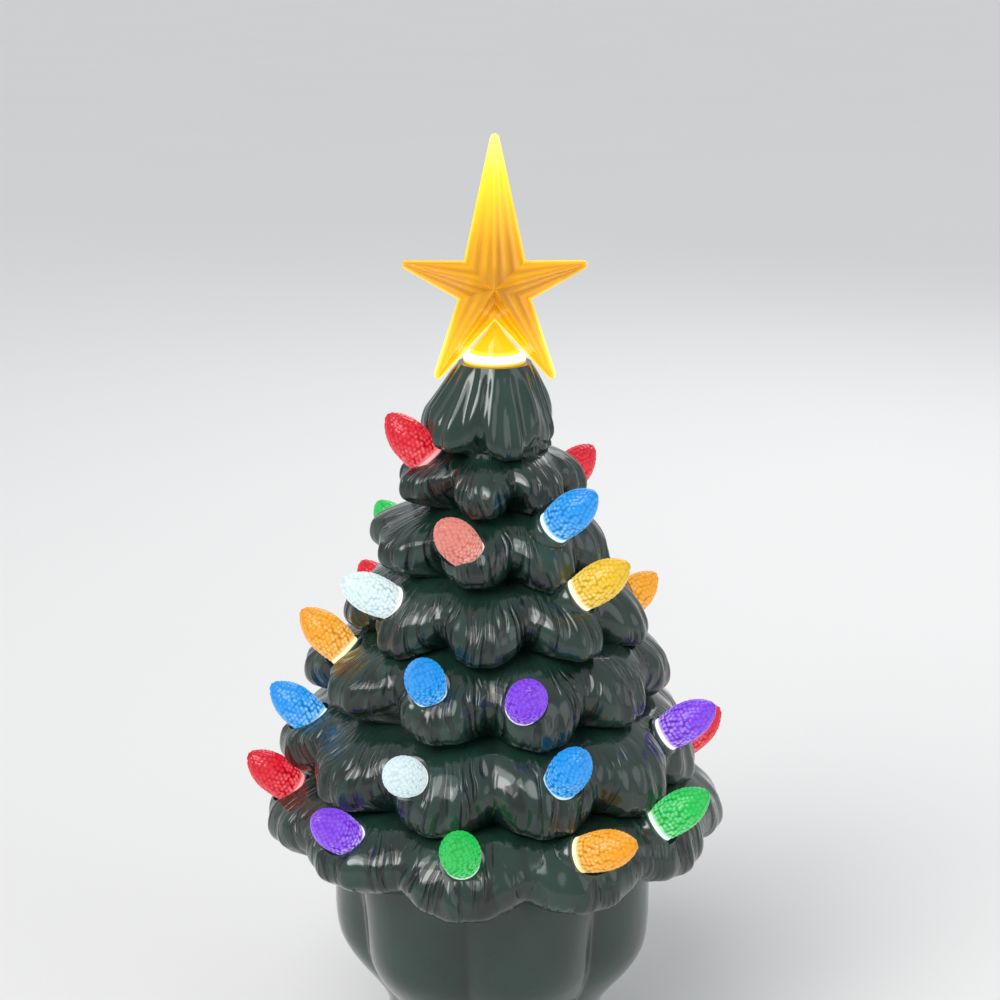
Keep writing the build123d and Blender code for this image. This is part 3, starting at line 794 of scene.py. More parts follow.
@dataclass
class TreeBody:
    """The glazed body: seven tiers of drooping boughs on a lobed trunk, hollow inside."""

    top_height: float = 232.0
    top_bore: float = 6.2
    top_mouth: float = 6.7
    mouth_depth: float = 0.5
    tier_heights: tuple[float, ...] = (211.94, 194.0, 174.54, 155.01, 132.52, 108.5, 86.54)
    tier_radii: tuple[float, ...] = (21.5, 31.0, 39.5, 48.0, 57.5, 66.5, 74.5)
    bough_counts: tuple[int, ...] = (6, 7, 8, 9, 10, 11, 11)
    bough_turns: tuple[float, ...] = (14.0, -10.0, -12.0, -5.0, -20.0, -17.0, -8.5)
    valley_shares: tuple[float, ...] = (1.0, 1.0, 1.0, 1.0, 0.92, 0.85, 0.60)
    bough_depth: float = 18.0
    cap_depth: float = 8.5
    bough_shares: tuple[Triple, ...] = (
        (0.63, 0.80, 0.88), (0.54, 0.56, 0.76), (0.43, 0.34, 0.64), (0.31, 0.16, 0.56),
        (0.18, 0.05, 0.50), (0.04, 0.00, 0.52), (-0.09, 0.00, 0.60), (-0.19, 0.06, 0.71),
        (-0.26, 0.20, 0.82), (-0.30, 0.50, 0.92),
    )
    cap_shares: tuple[Triple, ...] = (
        (1.00, 1.20, 1.20), (0.85, 0.98, 1.02), (0.66, 0.74, 0.82), (0.44, 0.44, 0.58),
        (0.24, 0.17, 0.44), (0.08, 0.04, 0.38), (-0.06, 0.00, 0.40), (-0.15, 0.07, 0.50),
        (-0.22, 0.22, 0.60), (-0.28, 0.48, 0.72),
    )
    foot_height: float = 0.8
    trunk_height: float = 80.0
    trunk_girth: float = 52.0
    trunk_lobe_depth: float = 6.0
    trunk_lobes: int = 7
    trunk_turn: float = -88.0
    trunk_shares: tuple[Triple, ...] = (
        (0.98, 0.95, 0.20), (0.88, 0.985, 0.50), (0.76, 1.00, 0.85), (0.64, 1.00, 1.00),
        (0.54, 0.975, 0.95), (0.45, 0.90, 0.75), (0.36, 0.785, 0.45), (0.28, 0.70, 0.25),
        (0.20, 0.67, 0.12), (0.12, 0.685, 0.06), (0.05, 0.73, 0.03), (0.00, 0.745, 0.00),
    )
    inside: tuple[Pair, ...] = (
        (0.8, 36.0), (0.8, 34.0), (6.0, 34.0), (6.0, 31.0), (22.0, 31.0), (42.9, 41.4),
        (62.6, 44.1), (100.9, 44.1), (125.3, 35.1), (145.0, 25.7), (165.9, 16.0), (185.6, 8.6),
        (198.5, 6.2),
    )
    side_lifts: tuple[Pair, ...] = (
        (3.0, 0.0), (2.0, 0.0), (5.0, -3.5), (-2.0, -5.0), (3.0, 0.0), (3.0, -1.5), (3.0, -1.0),
    )
    side_reaches: tuple[Pair, ...] = (
        (2.5, -4.0), (1.0, -3.5), (0.5, -3.5), (-1.5, 1.0), (2.5, -3.0), (1.0, -2.5), (0.0, -2.0),
    )
    columns: int = 520
    rows_per_tier: int = 19
    trunk_rows: int = 26
    seed: int = 11
    bough_droop: float = 1.5
    bough_lift: float = 2.2
    reach_stray: float = 0.9
    drop_stray: float = 1.6
    lobe_stray: float = 0.12
    side_power: float = 1.5
    finger_depth: float = 0.55
    fingers: int = 4
    cap_pleats: int = 17
    cap_pleat_depth: float = 0.42
    cap_pleat_sway: float = 0.9
    cap_pleat_run: float = 5.0
    cap_sway_waves: float = 5.0
    cap_sway_run: float = 0.05
    cap_needle_share: float = 0.06
    needle_root: Pair = (0.3, 0.15)
    needle_lip: float = 0.22
    needle_valley: float = 0.3
    droop_root: float = 0.45
    droop_lip: float = 0.16
    droop_power: float = 1.5
    valley_round: float = 0.010
    valley_pinch: float = 0.05
    crease_power: int = 3
    bough_offset: float = 71.0
    tier_offset: float = 433.0
    fan_start: float = 0.62
    fan_run: float = 40.0
    weld_gap: float = 0.002
    collar: Profile = ((5.4, -12.0), (6.6, -3.0), (6.5, -0.9), (6.2, -0.25), (5.7, 0.0))
    pocket: Profile = ((2.75, -14.0), (2.75, -0.02), (6.75, 0.0), (7.0, 20.0))
    collar_sides: int = 32
    pocket_sides: int = 36
    smooth_angle: float = 48.0

    def tier_rows(self, tier: int) -> list[SectionRow]:
        """Rings of one tier, from its root down round its lip."""
        cap = tier == 0
        shares = self.cap_shares if cap else self.bough_shares
        above = self.top_height if cap else self.tier_heights[tier - 1]
        step = above - self.tier_heights[tier]
        depth = self.cap_depth if cap else self.bough_depth
        made = run_through(np.array(shares), self.rows_per_tier)
        heights = self.tier_heights[tier] + made[:, 0] * step
        ridges = self.tier_radii[tier] - made[:, 1] * depth
        inward = made[:, 1] + (made[:, 2] - made[:, 1]) * self.valley_shares[tier]
        valleys = self.tier_radii[tier] - inward * depth
        runs = np.concatenate([[0.0], np.cumsum(np.hypot(np.diff(heights), np.diff(ridges)))])
        down = np.linspace(0.0, 1.0, self.rows_per_tier)
        root, least = self.needle_root
        needles = np.clip(down / root, least, 1.0)
        needles *= np.clip((1.0 - down) / self.needle_lip, 0.0, 1.0)
        needles *= self.cap_needle_share if cap else 1.0
        droops = np.clip(down / self.droop_root, 0.0, 1.0) ** self.droop_power
        droops *= np.clip((1.0 - down) / self.droop_lip, 0.0, 1.0)
        count, turn = self.bough_counts[tier], self.bough_turns[tier]
        return [
            SectionRow(height, ridge, valley, count, turn, tier, run, needle, droop)
            for height, ridge, valley, run, needle, droop
            in zip(heights, ridges, valleys, runs, needles, droops)
        ]

    def trunk_section_rows(self) -> list[SectionRow]:
        """Rings of the trunk, from under the lowest boughs to the foot."""
        made = run_through(np.array(self.trunk_shares), self.trunk_rows)
        tier = len(self.tier_heights)
        rows = []
        for height_share, radius_share, lobe_share in made:
            height = self.foot_height + height_share * (self.trunk_height - self.foot_height)
            ridge = radius_share * self.trunk_girth
            valley = ridge - lobe_share * self.trunk_lobe_depth
            run = (1.0 - height_share) * self.trunk_height
            rows.append(SectionRow(
                height, ridge, valley, self.trunk_lobes, self.trunk_turn, tier, run, 0.0, 0.0
            ))
        return rows

    def rings(self) -> list[SectionRow]:
        """All rings of the closed surface: outside from the top down, then inside back up."""
        tier = len(self.tier_heights)
        rows = [row for number in range(tier) for row in self.tier_rows(number)]
        rows += self.trunk_section_rows()
        bore = (self.top_height - self.mouth_depth, self.top_bore)
        for height, radius in (*self.inside, bore, (self.top_height, self.top_mouth)):
            rows.append(SectionRow(height, radius, radius, 1, 0.0, tier, 0.0, 0.0, 0.0))
        return rows

    def surface(self, rows: list[SectionRow]) -> tuple[np.ndarray, np.ndarray, np.ndarray]:
        """Vertex places of the rings.

        Args:
            rows: Rings of the surface.

        Returns:
            Places in metres, crease shares and needle shares, one row of columns per ring.
        """
        chance = np.random.default_rng(self.seed)
        tiers = len(self.tier_heights)
        counts = (*self.bough_counts, self.trunk_lobes)
        longer = [chance.uniform(-1.0, 1.0, count) for count in counts]
        lower = [chance.uniform(-1.0, 1.0, count) for count in counts]
        phase = [chance.uniform(0.0, 6.28, count) for count in counts]
        turns = np.arange(self.columns + 1) * 360.0 / self.columns
        angle = np.radians(turns)
        left = np.clip(-np.sin(angle), 0.0, 1.0) ** self.side_power
        right = np.clip(np.sin(angle), 0.0, 1.0) ** self.side_power
        places = np.zeros((len(rows), self.columns + 1, 3))
        creases, needles = np.zeros((2, len(rows), self.columns + 1))
        for number, row in enumerate(rows):
            lobe = (turns - row.turn) * row.count / 360.0
            index = np.round(lobe).astype(int) % row.count
            aside = lobe - np.round(lobe)
            arch = 1.0 - (2.0 * np.abs(aside)) ** 2.0
            arch = np.sqrt(arch**2 + self.valley_round) - self.valley_pinch * (1.0 - arch)
            depth = row.ridge - row.valley
            radius = row.valley + depth * np.minimum(arch, 1.0)
            height = np.full_like(turns, row.height)
            if row.tier == 0:
                wave = np.radians(turns * self.cap_sway_waves)
                sway = np.sin(wave + row.run * self.cap_sway_run)
                pleat = np.cos(np.radians(turns * self.cap_pleats) + self.cap_pleat_sway * sway)
                radius += self.cap_pleat_depth * min(row.run / self.cap_pleat_run, 1.0) * pleat
            if row.tier < tiers and row.droop > 0.0:
                lift, reach = self.side_lifts[row.tier], self.side_reaches[row.tier]
                height += row.droop * (lift[0] * left + lift[1] * right)
                radius += row.droop * arch * (reach[0] * left + reach[1] * right)
                radius += arch * row.droop * self.reach_stray * longer[row.tier][index]
                finger = np.cos(2 * np.pi * self.fingers * aside + 0.5 * phase[row.tier][index])
                radius += self.finger_depth * finger * arch * row.droop
                lift_here = self.bough_lift * self.valley_shares[row.tier] ** 2
                height += row.droop * (lift_here * (1.0 - arch) - self.bough_droop * arch)
                height += row.droop * arch * self.drop_stray * lower[row.tier][index]
            elif row.tier == tiers and depth > 0.0:
                radius += arch * depth * self.lobe_stray * longer[row.tier][index]
            across, out = np.sin(angle) * radius, -np.cos(angle) * radius
            places[number] = np.stack([across, out, height], axis=1)
            # Crease share: nearness to the valley floor between boughs, where the glaze paints
            # shade.
            crease = np.clip(1.0 - arch, 0.0, 1.0) ** self.crease_power
            creases[number] = crease * float(depth > 0.0)
            needles[number] = row.needle_share * np.clip(arch / self.needle_valley, 0.0, 1.0)
        return places * MM, creases, needles

    def stroke_map(self, piece: bpy.types.Object, rows: list[SectionRow]) -> None:
        """Map in millimetres that fans the needle strokes out along each bough.

        Args:
            piece: The grid, before its seams are closed.
            rows: Rings of the surface.
        """
        mesh = piece.data
        corner = np.zeros(len(mesh.loops), np.int32)
        mesh.loops.foreach_get("vertex_index", corner)
        ring, column = np.divmod(corner.reshape(-1, 4), self.columns + 1)
        ring = np.minimum(ring, len(rows) - 1)
        lead = np.min(ring, axis=1)
        middle = np.mean(column, axis=1) * 360.0 / self.columns
        count = np.array([row.count for row in rows])[lead]
        start = np.array([row.turn for row in rows])[lead]
        tier = np.array([row.tier for row in rows])[lead]
        reach = np.array([*self.tier_radii, self.trunk_girth])[tier]
        runs = np.array([row.run for row in rows])
        bough = np.round((middle - start) * count / 360.0)
        ridge_turn = start + bough * 360.0 / count
        run = np.maximum(runs[ring], runs[lead][:, None])
        across = np.radians(column * 360.0 / self.columns - ridge_turn[:, None]) * reach[:, None]
        spread = np.clip(run / self.fan_run, 0.0, 1.0)
        across = across / (self.fan_start + (1.0 - self.fan_start) * spread)
        across += (bough * self.bough_offset + tier * self.tier_offset)[:, None]
        layer = mesh.uv_layers.active
        layer.name = "needles"
        layer.data.foreach_set("uv", np.stack([across, run], axis=2).astype(np.float32).ravel())

    def build(self, seats: list[Seat]) -> None:
        """Make the body: a grid wrapped round the rings, then bulb seats carved in it.

        Args:
            seats: Places of the bulb pegs.
        """
        rows = self.rings()
        Bench.clear()
        bpy.ops.mesh.primitive_grid_add(
            x_subdivisions=self.columns, y_subdivisions=len(rows), size=1.0, calc_uvs=True
        )
        piece = bpy.context.object
        piece.name = "glazed_tree"
        places, creases, needles = self.surface(rows)
        Bench.set_points(piece, np.concatenate([places, places[:1]]).reshape(-1, 3))
        Bench.hold(piece, "crease", np.concatenate([creases, creases[:1]]))
        Bench.hold(piece, "needle_share", np.concatenate([needles, needles[:1]]))
        self.stroke_map(piece, rows)
        with Bench.editing():
            bpy.ops.mesh.remove_doubles(threshold=self.weld_gap * MM)
            bpy.ops.mesh.normals_make_consistent(inside=False)
        collar = Bench.turned("collar", self.collar, self.collar_sides)
        pocket = Bench.turned("pocket", self.pocket, self.pocket_sides)
        for tool, operation in ((collar, "UNION"), (pocket, "DIFFERENCE")):
            for seat in seats:
                Bench.carve(piece, Bench.copied(tool, "seat_tool", seat.matrix), operation)
        Bench.remove(collar, pocket)
        Bench.smooth(piece, self.smooth_angle)
        Bench.fit(piece, GreenGlaze().material(), "tree", "green_glaze", "tree_body")


@dataclass
class BulbSet:
    """Pebbled bulb pegs, modelled once and set in their seats."""

    length: float = 19.3
    radius: float = 6.0
    base_radius: float = 5.3
    flange: float = 1.2
    stem_radius: float = 2.6
    stem_length: float = 7.0
    belly: float = 7.8
    seat_inset: float = 9.5
    seat_rise: float = 8.0
    seed: int = 7
    rows: int = 54
    pebble_pitch: float = 1.5
    pebble_height: float = 0.32
    pebble_stray: float = 0.22
    pebble_sink: float = 0.4
    pebble_reach: float = 0.62
    ring_share: float = 0.88
    first_ring: float = 0.9
    last_ring: float = 0.3
    egg_start: float = 0.15
    nose_power: float = 2.1
    nose_round: float = 0.75
    row_power: float = 1.45
    smooth_angle: float = 60.0
    segments: int = 112
    places: tuple[tuple[str, int, float, float, float, float], ...] = (
        ("red", 1, -74.0, -20.0, 50.0, 0.0), ("red", 2, 140.0, -26.0, 44.0, 0.35),
        ("green", 3, -135.0, 12.0, 44.0, 0.25), ("blue", 2, 36.0, 26.0, 42.0, 0.4),
        ("pink", 2, -15.0, -20.0, 42.0, -0.45), ("yellow", 2, 174.0, 0.0, 42.0, 0.0),
        ("white", 3, -54.0, -10.0, 30.0, -0.2), ("yellow", 3, 41.0, 36.0, 36.0, 0.35),
        ("orange", 4, 125.0, -20.0, 41.0, 0.2), ("red", 4, -135.0, 10.0, 46.0, 0.2),
        ("blue", 3, -172.0, 5.0, 42.0, 0.0), ("green", 3, 158.0, -4.0, 40.0, 0.0),
        ("orange", 4, -76.0, -20.0, 44.0, 0.2), ("blue", 4, -24.0, 14.0, 43.0, 0.0),
        ("purple", 4, 10.0, 0.0, 36.0, -0.5), ("pink", 4, 157.0, 8.0, 40.0, 0.0),
        ("white", 4, -168.0, -6.0, 42.0, 0.0), ("green", 2, -152.0, 6.0, 40.0, -0.2),
        ("blue", 5, -81.0, -16.0, 41.0, 0.1), ("white", 5, -26.0, 12.0, 26.0, -0.1),
        ("blue", 5, 20.0, 10.0, 48.0, -0.2), ("purple", 5, 68.0, 9.0, 36.0, 0.2),
        ("orange", 5, -128.0, 0.0, 42.0, 0.0), ("yellow", 5, 138.0, 4.0, 40.0, -0.2),
        ("red", 5, 176.0, -5.0, 40.0, 0.0), ("red", 6, -80.0, 3.0, 43.0, 0.2),
        ("purple", 6, -42.0, 0.0, 40.0, 0.0), ("green", 6, -8.5, 4.0, 43.0, 0.0),
        ("orange", 6, 23.0, 44.0, 20.0, 0.05), ("green", 6, 50.0, 33.0, 38.0, 0.25),
        ("red", 6, 111.0, -6.0, 40.0, 0.3), ("blue", 6, 142.0, 0.0, 40.0, 0.0),
        ("white", 6, -163.0, 0.0, 40.0, 0.0), ("yellow", 6, -134.0, -4.0, 40.0, 0.0),
    )

    def seats(self, body: TreeBody) -> list[Seat]:
        """Seat of each bulb on the body, named for its CAD node.

        Args:
            body: The tree body that the tiers' sizes come from.

        Returns:
            The seats in order.
        """
        counts: dict[str, int] = {}
        made = []
        for colour, tier, turn, swing, pitch, lift in self.places:
            counts[colour] = counts.get(colour, 0) + 1
            spot = heading(turn) * (body.tier_radii[tier] - self.seat_inset)
            spot.z = body.tier_heights[tier] + self.seat_rise * (1.0 + lift)
            out = heading(turn + swing) * math.cos(math.radians(pitch))
            out.z = math.sin(math.radians(pitch))
            side = heading(turn + swing + 90.0)
            matrix = Matrix((side, out.cross(side), out)).transposed().to_4x4()
            matrix.translation = spot * MM
            made.append(Seat(BulbColour[colour.upper()], f"bulb_{colour}_{counts[colour]}", matrix))
        return made

    def width_at(self, height: float) -> float:
        """Radius of the egg at a height over its seat, in millimetres."""
        if height <= self.belly:
            drop = (self.belly - height) / (self.belly - self.flange)
            return self.radius - (self.radius - self.base_radius) * drop**2
        rise = (height - self.belly) / (self.length - self.belly)
        return self.radius * max(1.0 - rise**self.nose_power, 0.0) ** self.nose_round

    def pebbles(self) -> np.ndarray:
        """Centres of the pebbles, in staggered rings up the egg."""
        chance = np.random.default_rng(self.seed)
        centres = []
        height = self.flange + self.first_ring
        ring = 0
        while height < self.length - self.last_ring:
            width = self.width_at(height)
            count = max(3, round(2 * math.pi * width / self.pebble_pitch))
            for number in range(count):
                aside, up = chance.uniform(-self.pebble_stray, self.pebble_stray, 2)
                angle = 2 * math.pi * (number + 0.5 * (ring % 2) + aside) / count
                out = self.width_at(min(height + up, self.length))
                centres.append((out * math.cos(angle), out * math.sin(angle), height + up))
            slope = abs(self.width_at(height + 0.1) - width) / 0.1
            height += self.ring_share * self.pebble_pitch / math.hypot(1.0, slope)
            ring += 1
        return np.array(centres)

    def profile(self) -> list[Pair]:
        """Outline of a bulb before its pebbles: stem, flange and egg."""
        rises = 1.0 - (1.0 - np.linspace(0.0, 1.0, self.rows)) ** self.row_power
        heights = self.flange + rises * (self.length - self.flange)
        stem, foot, base, top = self.stem_radius, -self.stem_length, self.base_radius, self.flange
        return [
            (stem * 0.9, foot), (stem, foot + 0.3), (stem, -0.05), (base - 0.2, 0.0),
            (base + 0.1, 0.2), (base + 0.1, top - 0.25), (base - 0.15, top - 0.1),
            *((self.width_at(height), height) for height in heights[:-1]), (0.0, self.length),
        ]

    def model(self) -> bpy.types.Object:
        """One bulb on the axis, its seat at the origin."""
        piece = Bench.turned("bulb_master", self.profile(), self.segments)
        spots = Bench.points(piece) / MM
        egg = spots[:, 2] > self.flange + self.egg_start
        gaps = np.linalg.norm(spots[egg][:, None, :] - self.pebbles()[None, :, :], axis=2)
        near = gaps.min(axis=1) / (self.pebble_reach * self.pebble_pitch)
        dome = np.zeros(len(spots))
        dome[egg] = np.clip(1.0 - near**2, 0.0, 1.0)
        normals = np.array([vertex.normal for vertex in piece.data.vertices])
        rise = (dome[:, None] - self.pebble_sink * egg[:, None]) * self.pebble_height
        Bench.set_points(piece, (spots + normals * rise) * MM)
        Bench.hold(piece, "along", np.clip(spots[:, 2] / self.length, 0.0, 1.0))
        Bench.hold(piece, "pebble", dome)
        Bench.smooth(piece, self.smooth_angle)
        return piece

    def build(self, seats: list[Seat]) -> None:
        """Set a copy of the bulb in every seat.

        Args:
            seats: Where the bulbs go.
        """
        master = self.model()
        finishes = {colour: BulbPlastic(colour).material() for colour in BulbColour}
        for seat in seats:
            peg = Bench.copied(master, seat.node.replace("bulb", "lit_bulb"), seat.matrix)
            slot = "bulb_" + seat.colour.name.lower()
            Bench.fit(peg, finishes[seat.colour], "tree", slot, seat.node)
        Bench.remove(master)


@dataclass
class StarTopper:
    """The amber star: two fluted hollow halves with beaded rims, on a lit stem."""

    width: float = 58.0
    height: float = 75.0
    base: float = 226.0
    half_depth: float = 9.5
    wall: float = 1.2
    centre_share: float = 0.40
    outline: tuple[Pair, ...] = (
        (0.0, 1.07), (0.32, 0.493), (1.10, 0.498), (0.38, 0.34), (0.706, -0.044), (0.0, 0.253),
    )
    tip_radius: float = 1.3
    tip_reach: float = 9.0
    flutes: float = 2.5
    flute_depth: float = 0.35
    tip_fade: float = 4.0
    rim_fade: float = 14.0
    rim_slope: float = 16.0
    half_angle: float = 32.0
    bead: float = 0.6
    bead_sink: float = 0.8
    bead_notch: float = 0.97
    bead_angle: float = 50.0
    turned_sides: int = 64
    turned_angle: float = 40.0
    socket_ripples: float = 14.0
    cuts: int = 17
    stem_profile: Profile = (
        (5.3, 218.0), (5.9, 218.1), (6.05, 218.5), (6.05, 231.95), (9.3, 232.0), (9.6, 232.4),
        (9.6, 234.4), (9.3, 234.8), (7.4, 234.9), (6.4, 235.2), (3.6, 238.6), (1.4, 241.6),
        (0.0, 242.4),
    )
    socket_profile: Profile = (
        (7.0, 235.0), (7.7, 235.1), (7.8, 235.3), (7.3, 235.9), (6.2, 237.1), (5.2, 238.3),
        (4.2, 239.5), (3.2, 240.7), (2.3, 241.9), (1.5, 243.0), (0.9, 243.8), (0.4, 244.4),
        (0.0, 244.6),
    )

    def corners(self) -> np.ndarray:
        """The ten outline points (across, up) in millimetres, from the top point clockwise."""
        half = self.width / 2
        right = [(share * half, self.base + rise * self.height) for share, rise in self.outline]
        left = [(-across, up) for across, up in reversed(right[1:-1])]
        return np.array(right + left)

    def middle(self) -> np.ndarray:
        """The centre (across, up) in millimetres."""
        return np.array([0.0, self.base + self.centre_share * self.height])

    def tips(self) -> list[tuple[np.ndarray, np.ndarray, list[np.ndarray]]]:
        """Rounding of each point: circle's centre, the way in, both sides' outward normals."""
        corners = self.corners()
        made = []
        for number in range(0, len(corners), 2):
            tip = corners[number]
            sides = [corners[number - 1] - tip, corners[number + 1] - tip]
            sides = [side / np.linalg.norm(side) for side in sides]
            inward = (sides[0] + sides[1]) / np.linalg.norm(sides[0] + sides[1])
            cosine = float(sides[0] @ inward)
            sine = math.sqrt(1.0 - cosine**2)
            normals = [(side * cosine - inward) / sine for side in sides]
            made.append((tip + inward * self.tip_radius / sine, inward, normals))
        return made

    def rounded(self, flat: np.ndarray) -> np.ndarray:
        """Points of the star's plane, with those past a tip's circle drawn back to it."""
        for centre, inward, _ in self.tips():
            off = flat - centre
            gap = np.linalg.norm(off, axis=1)
            past = (off @ inward < 0.0) & (gap > self.tip_radius) & (gap < self.tip_reach)
            flat[past] = centre + off[past] * (self.tip_radius / gap[past])[:, None]
        return flat

    def fan(self, name: str, facing: float) -> bpy.types.Object:
        """Ten flat facets from the raised centre to the outline, finely divided.

        Args:
            name: Object name.
            facing: -1 for the front and 1 for the back.

        Returns:
            The open sheet, still in millimetres.
        """
        middle = self.middle()
        Bench.clear()
        bpy.ops.mesh.primitive_circle_add(vertices=10, radius=1.0, fill_type="TRIFAN")
        piece = bpy.context.object
        piece.name = name
        spots = Bench.points(piece)
        hub = int(np.argmin(np.hypot(spots[:, 0], spots[:, 1])))
        rim = [number for number in range(len(spots)) if number != hub]
        spots[hub] = (middle[0], facing * self.half_depth, middle[1])
        for number, corner in zip(rim, self.corners()):
            spots[number] = (corner[0], 0.0, corner[1])
        Bench.set_points(piece, spots)
        with Bench.editing():
            bpy.ops.mesh.subdivide(number_cuts=self.cuts, smoothness=0.0)
        return piece

    def relief(self, flat: np.ndarray) -> tuple[np.ndarray, np.ndarray]:
        """Flutes and rim over the star's plane.

        Args:
            flat: Points (across, up) in millimetres.

        Returns:
            Height of the flutes and nearness to the rim at each point, both from 0 to 1.
        """
        corners, middle = self.corners(), self.middle()
        crest, rims = np.zeros((2, len(flat)))
        for number in range(len(corners)):
            first, second = corners[number], corners[(number + 1) % len(corners)]
            tip, notch = (first, second) if number % 2 == 0 else (second, first)
            base = np.array([tip - middle, notch - middle]).T
            shares = np.linalg.solve(base, (flat - middle).T).T
            inside = (shares >= -1e-6).all(axis=1) & (shares.sum(axis=1) <= 1 + 1e-6)
            hub_share = 1.0 - shares.sum(axis=1)
            off_tip = np.clip(1.0 - shares[:, 0], 1e-6, 1.0)
            wave = 0.5 - 0.5 * np.cos(2 * np.pi * self.flutes * (hub_share / off_tip))
            fade = np.clip(off_tip * self.tip_fade, 0.0, 1.0)
            fade *= np.clip(hub_share * self.rim_fade, 0.0, 1.0)
            crest[inside] = (wave * fade)[inside]
            rims[inside] = np.clip(1.0 - hub_share * self.rim_slope, 0.0, 1.0)[inside]
        return crest, rims

    def half(self, name: str, facing: float) -> bpy.types.Object:
        """One fluted half.

        Args:
            name: Object name.
            facing: -1 for the front and 1 for the back.

        Returns:
            The finished half.
        """
        piece = self.fan(name, facing)
        spots = Bench.points(piece)
        flat = spots[:, [0, 2]]
        crest, rims = self.relief(flat)
        spots[:, 1] += facing * self.flute_depth * crest
        spots[:, [0, 2]] = self.rounded(flat)
        Bench.set_points(piece, spots * MM)
        Bench.hold(piece, "flute", crest)
        Bench.hold(piece, "rim", rims)
        with Bench.editing():
            bpy.ops.mesh.normals_make_consistent(inside=False)
        if sum(face.normal.y for face in piece.data.polygons) * facing < 0.0:
            piece.data.flip_normals()
        Bench.pick(piece)
        shell = piece.modifiers.new("shell", "SOLIDIFY")
        shell.thickness = self.wall * MM
        shell.offset = -1.0
        bpy.ops.object.modifier_apply(modifier=shell.name)
        Bench.smooth(piece, self.half_angle)
        return piece

    def rim_bead(self) -> bpy.types.Object:
        """Rounded bead where the two halves meet, all round the outline."""
        middle = self.middle()
        inset = self.tip_radius - self.bead_sink * self.bead
        path = []
        for notch, (centre, inward, (before, after)) in zip(self.corners()[1::2], self.tips()):
            for way in (before, before - inward, -inward, after - inward, after):
                path.append(centre + way / np.linalg.norm(way) * inset)
            path.append(middle + (notch - middle) * self.bead_notch)
        Bench.clear()
        bpy.ops.mesh.primitive_circle_add(vertices=len(path), radius=1.0, fill_type="NOTHING")
        piece = bpy.context.object
        piece.name = "star_rim"
        Bench.set_points(piece, np.array([(across, 0.0, up) for across, up in path]) * MM)
        bpy.ops.object.convert(target="CURVE")
        piece.data.bevel_depth = self.bead * MM
        piece.data.bevel_resolution = 3
        bpy.ops.object.convert(target="MESH")
        piece = bpy.context.object
        Bench.hold(piece, "flute", np.ones(len(piece.data.vertices)))
        Bench.hold(piece, "rim", np.ones(len(piece.data.vertices)))
        Bench.smooth(piece, self.bead_angle)
        return piece

    def stem(self) -> bpy.types.Object:
        """Turned stem: plug, glowing flange and low cone."""
        piece = Bench.turned("lit_stem", self.stem_profile, self.turned_sides)
        Bench.smooth(piece, self.turned_angle)
        return piece

    def socket(self) -> bpy.types.Object:
        """Low amber cone that both halves form over the stem."""
        piece = Bench.turned("star_socket", self.socket_profile, self.turned_sides)
        spots = Bench.points(piece)
        ripple = np.cos(self.socket_ripples * np.arctan2(spots[:, 1], spots[:, 0]))
        Bench.hold(piece, "flute", 0.4 + 0.15 * ripple)
        Bench.hold(piece, "rim", np.zeros(len(spots)))
        Bench.smooth(piece, self.turned_angle)
        return piece

    def build(self) -> None:
        """Make and dress the star."""
        amber = AmberPlastic().material()
        slot = "amber_plastic"
        Bench.fit(self.half("star_face", -1.0), amber, "star", slot, "star_front")
        Bench.fit(self.half("star_rear", 1.0), amber, "star", slot, "star_back")
        Bench.fit(self.rim_bead(), amber, "star", slot)
        Bench.fit(self.socket(), amber, "star", slot)
        Bench.fit(self.stem(), LitStem().material(), "star", slot, "star_stem")


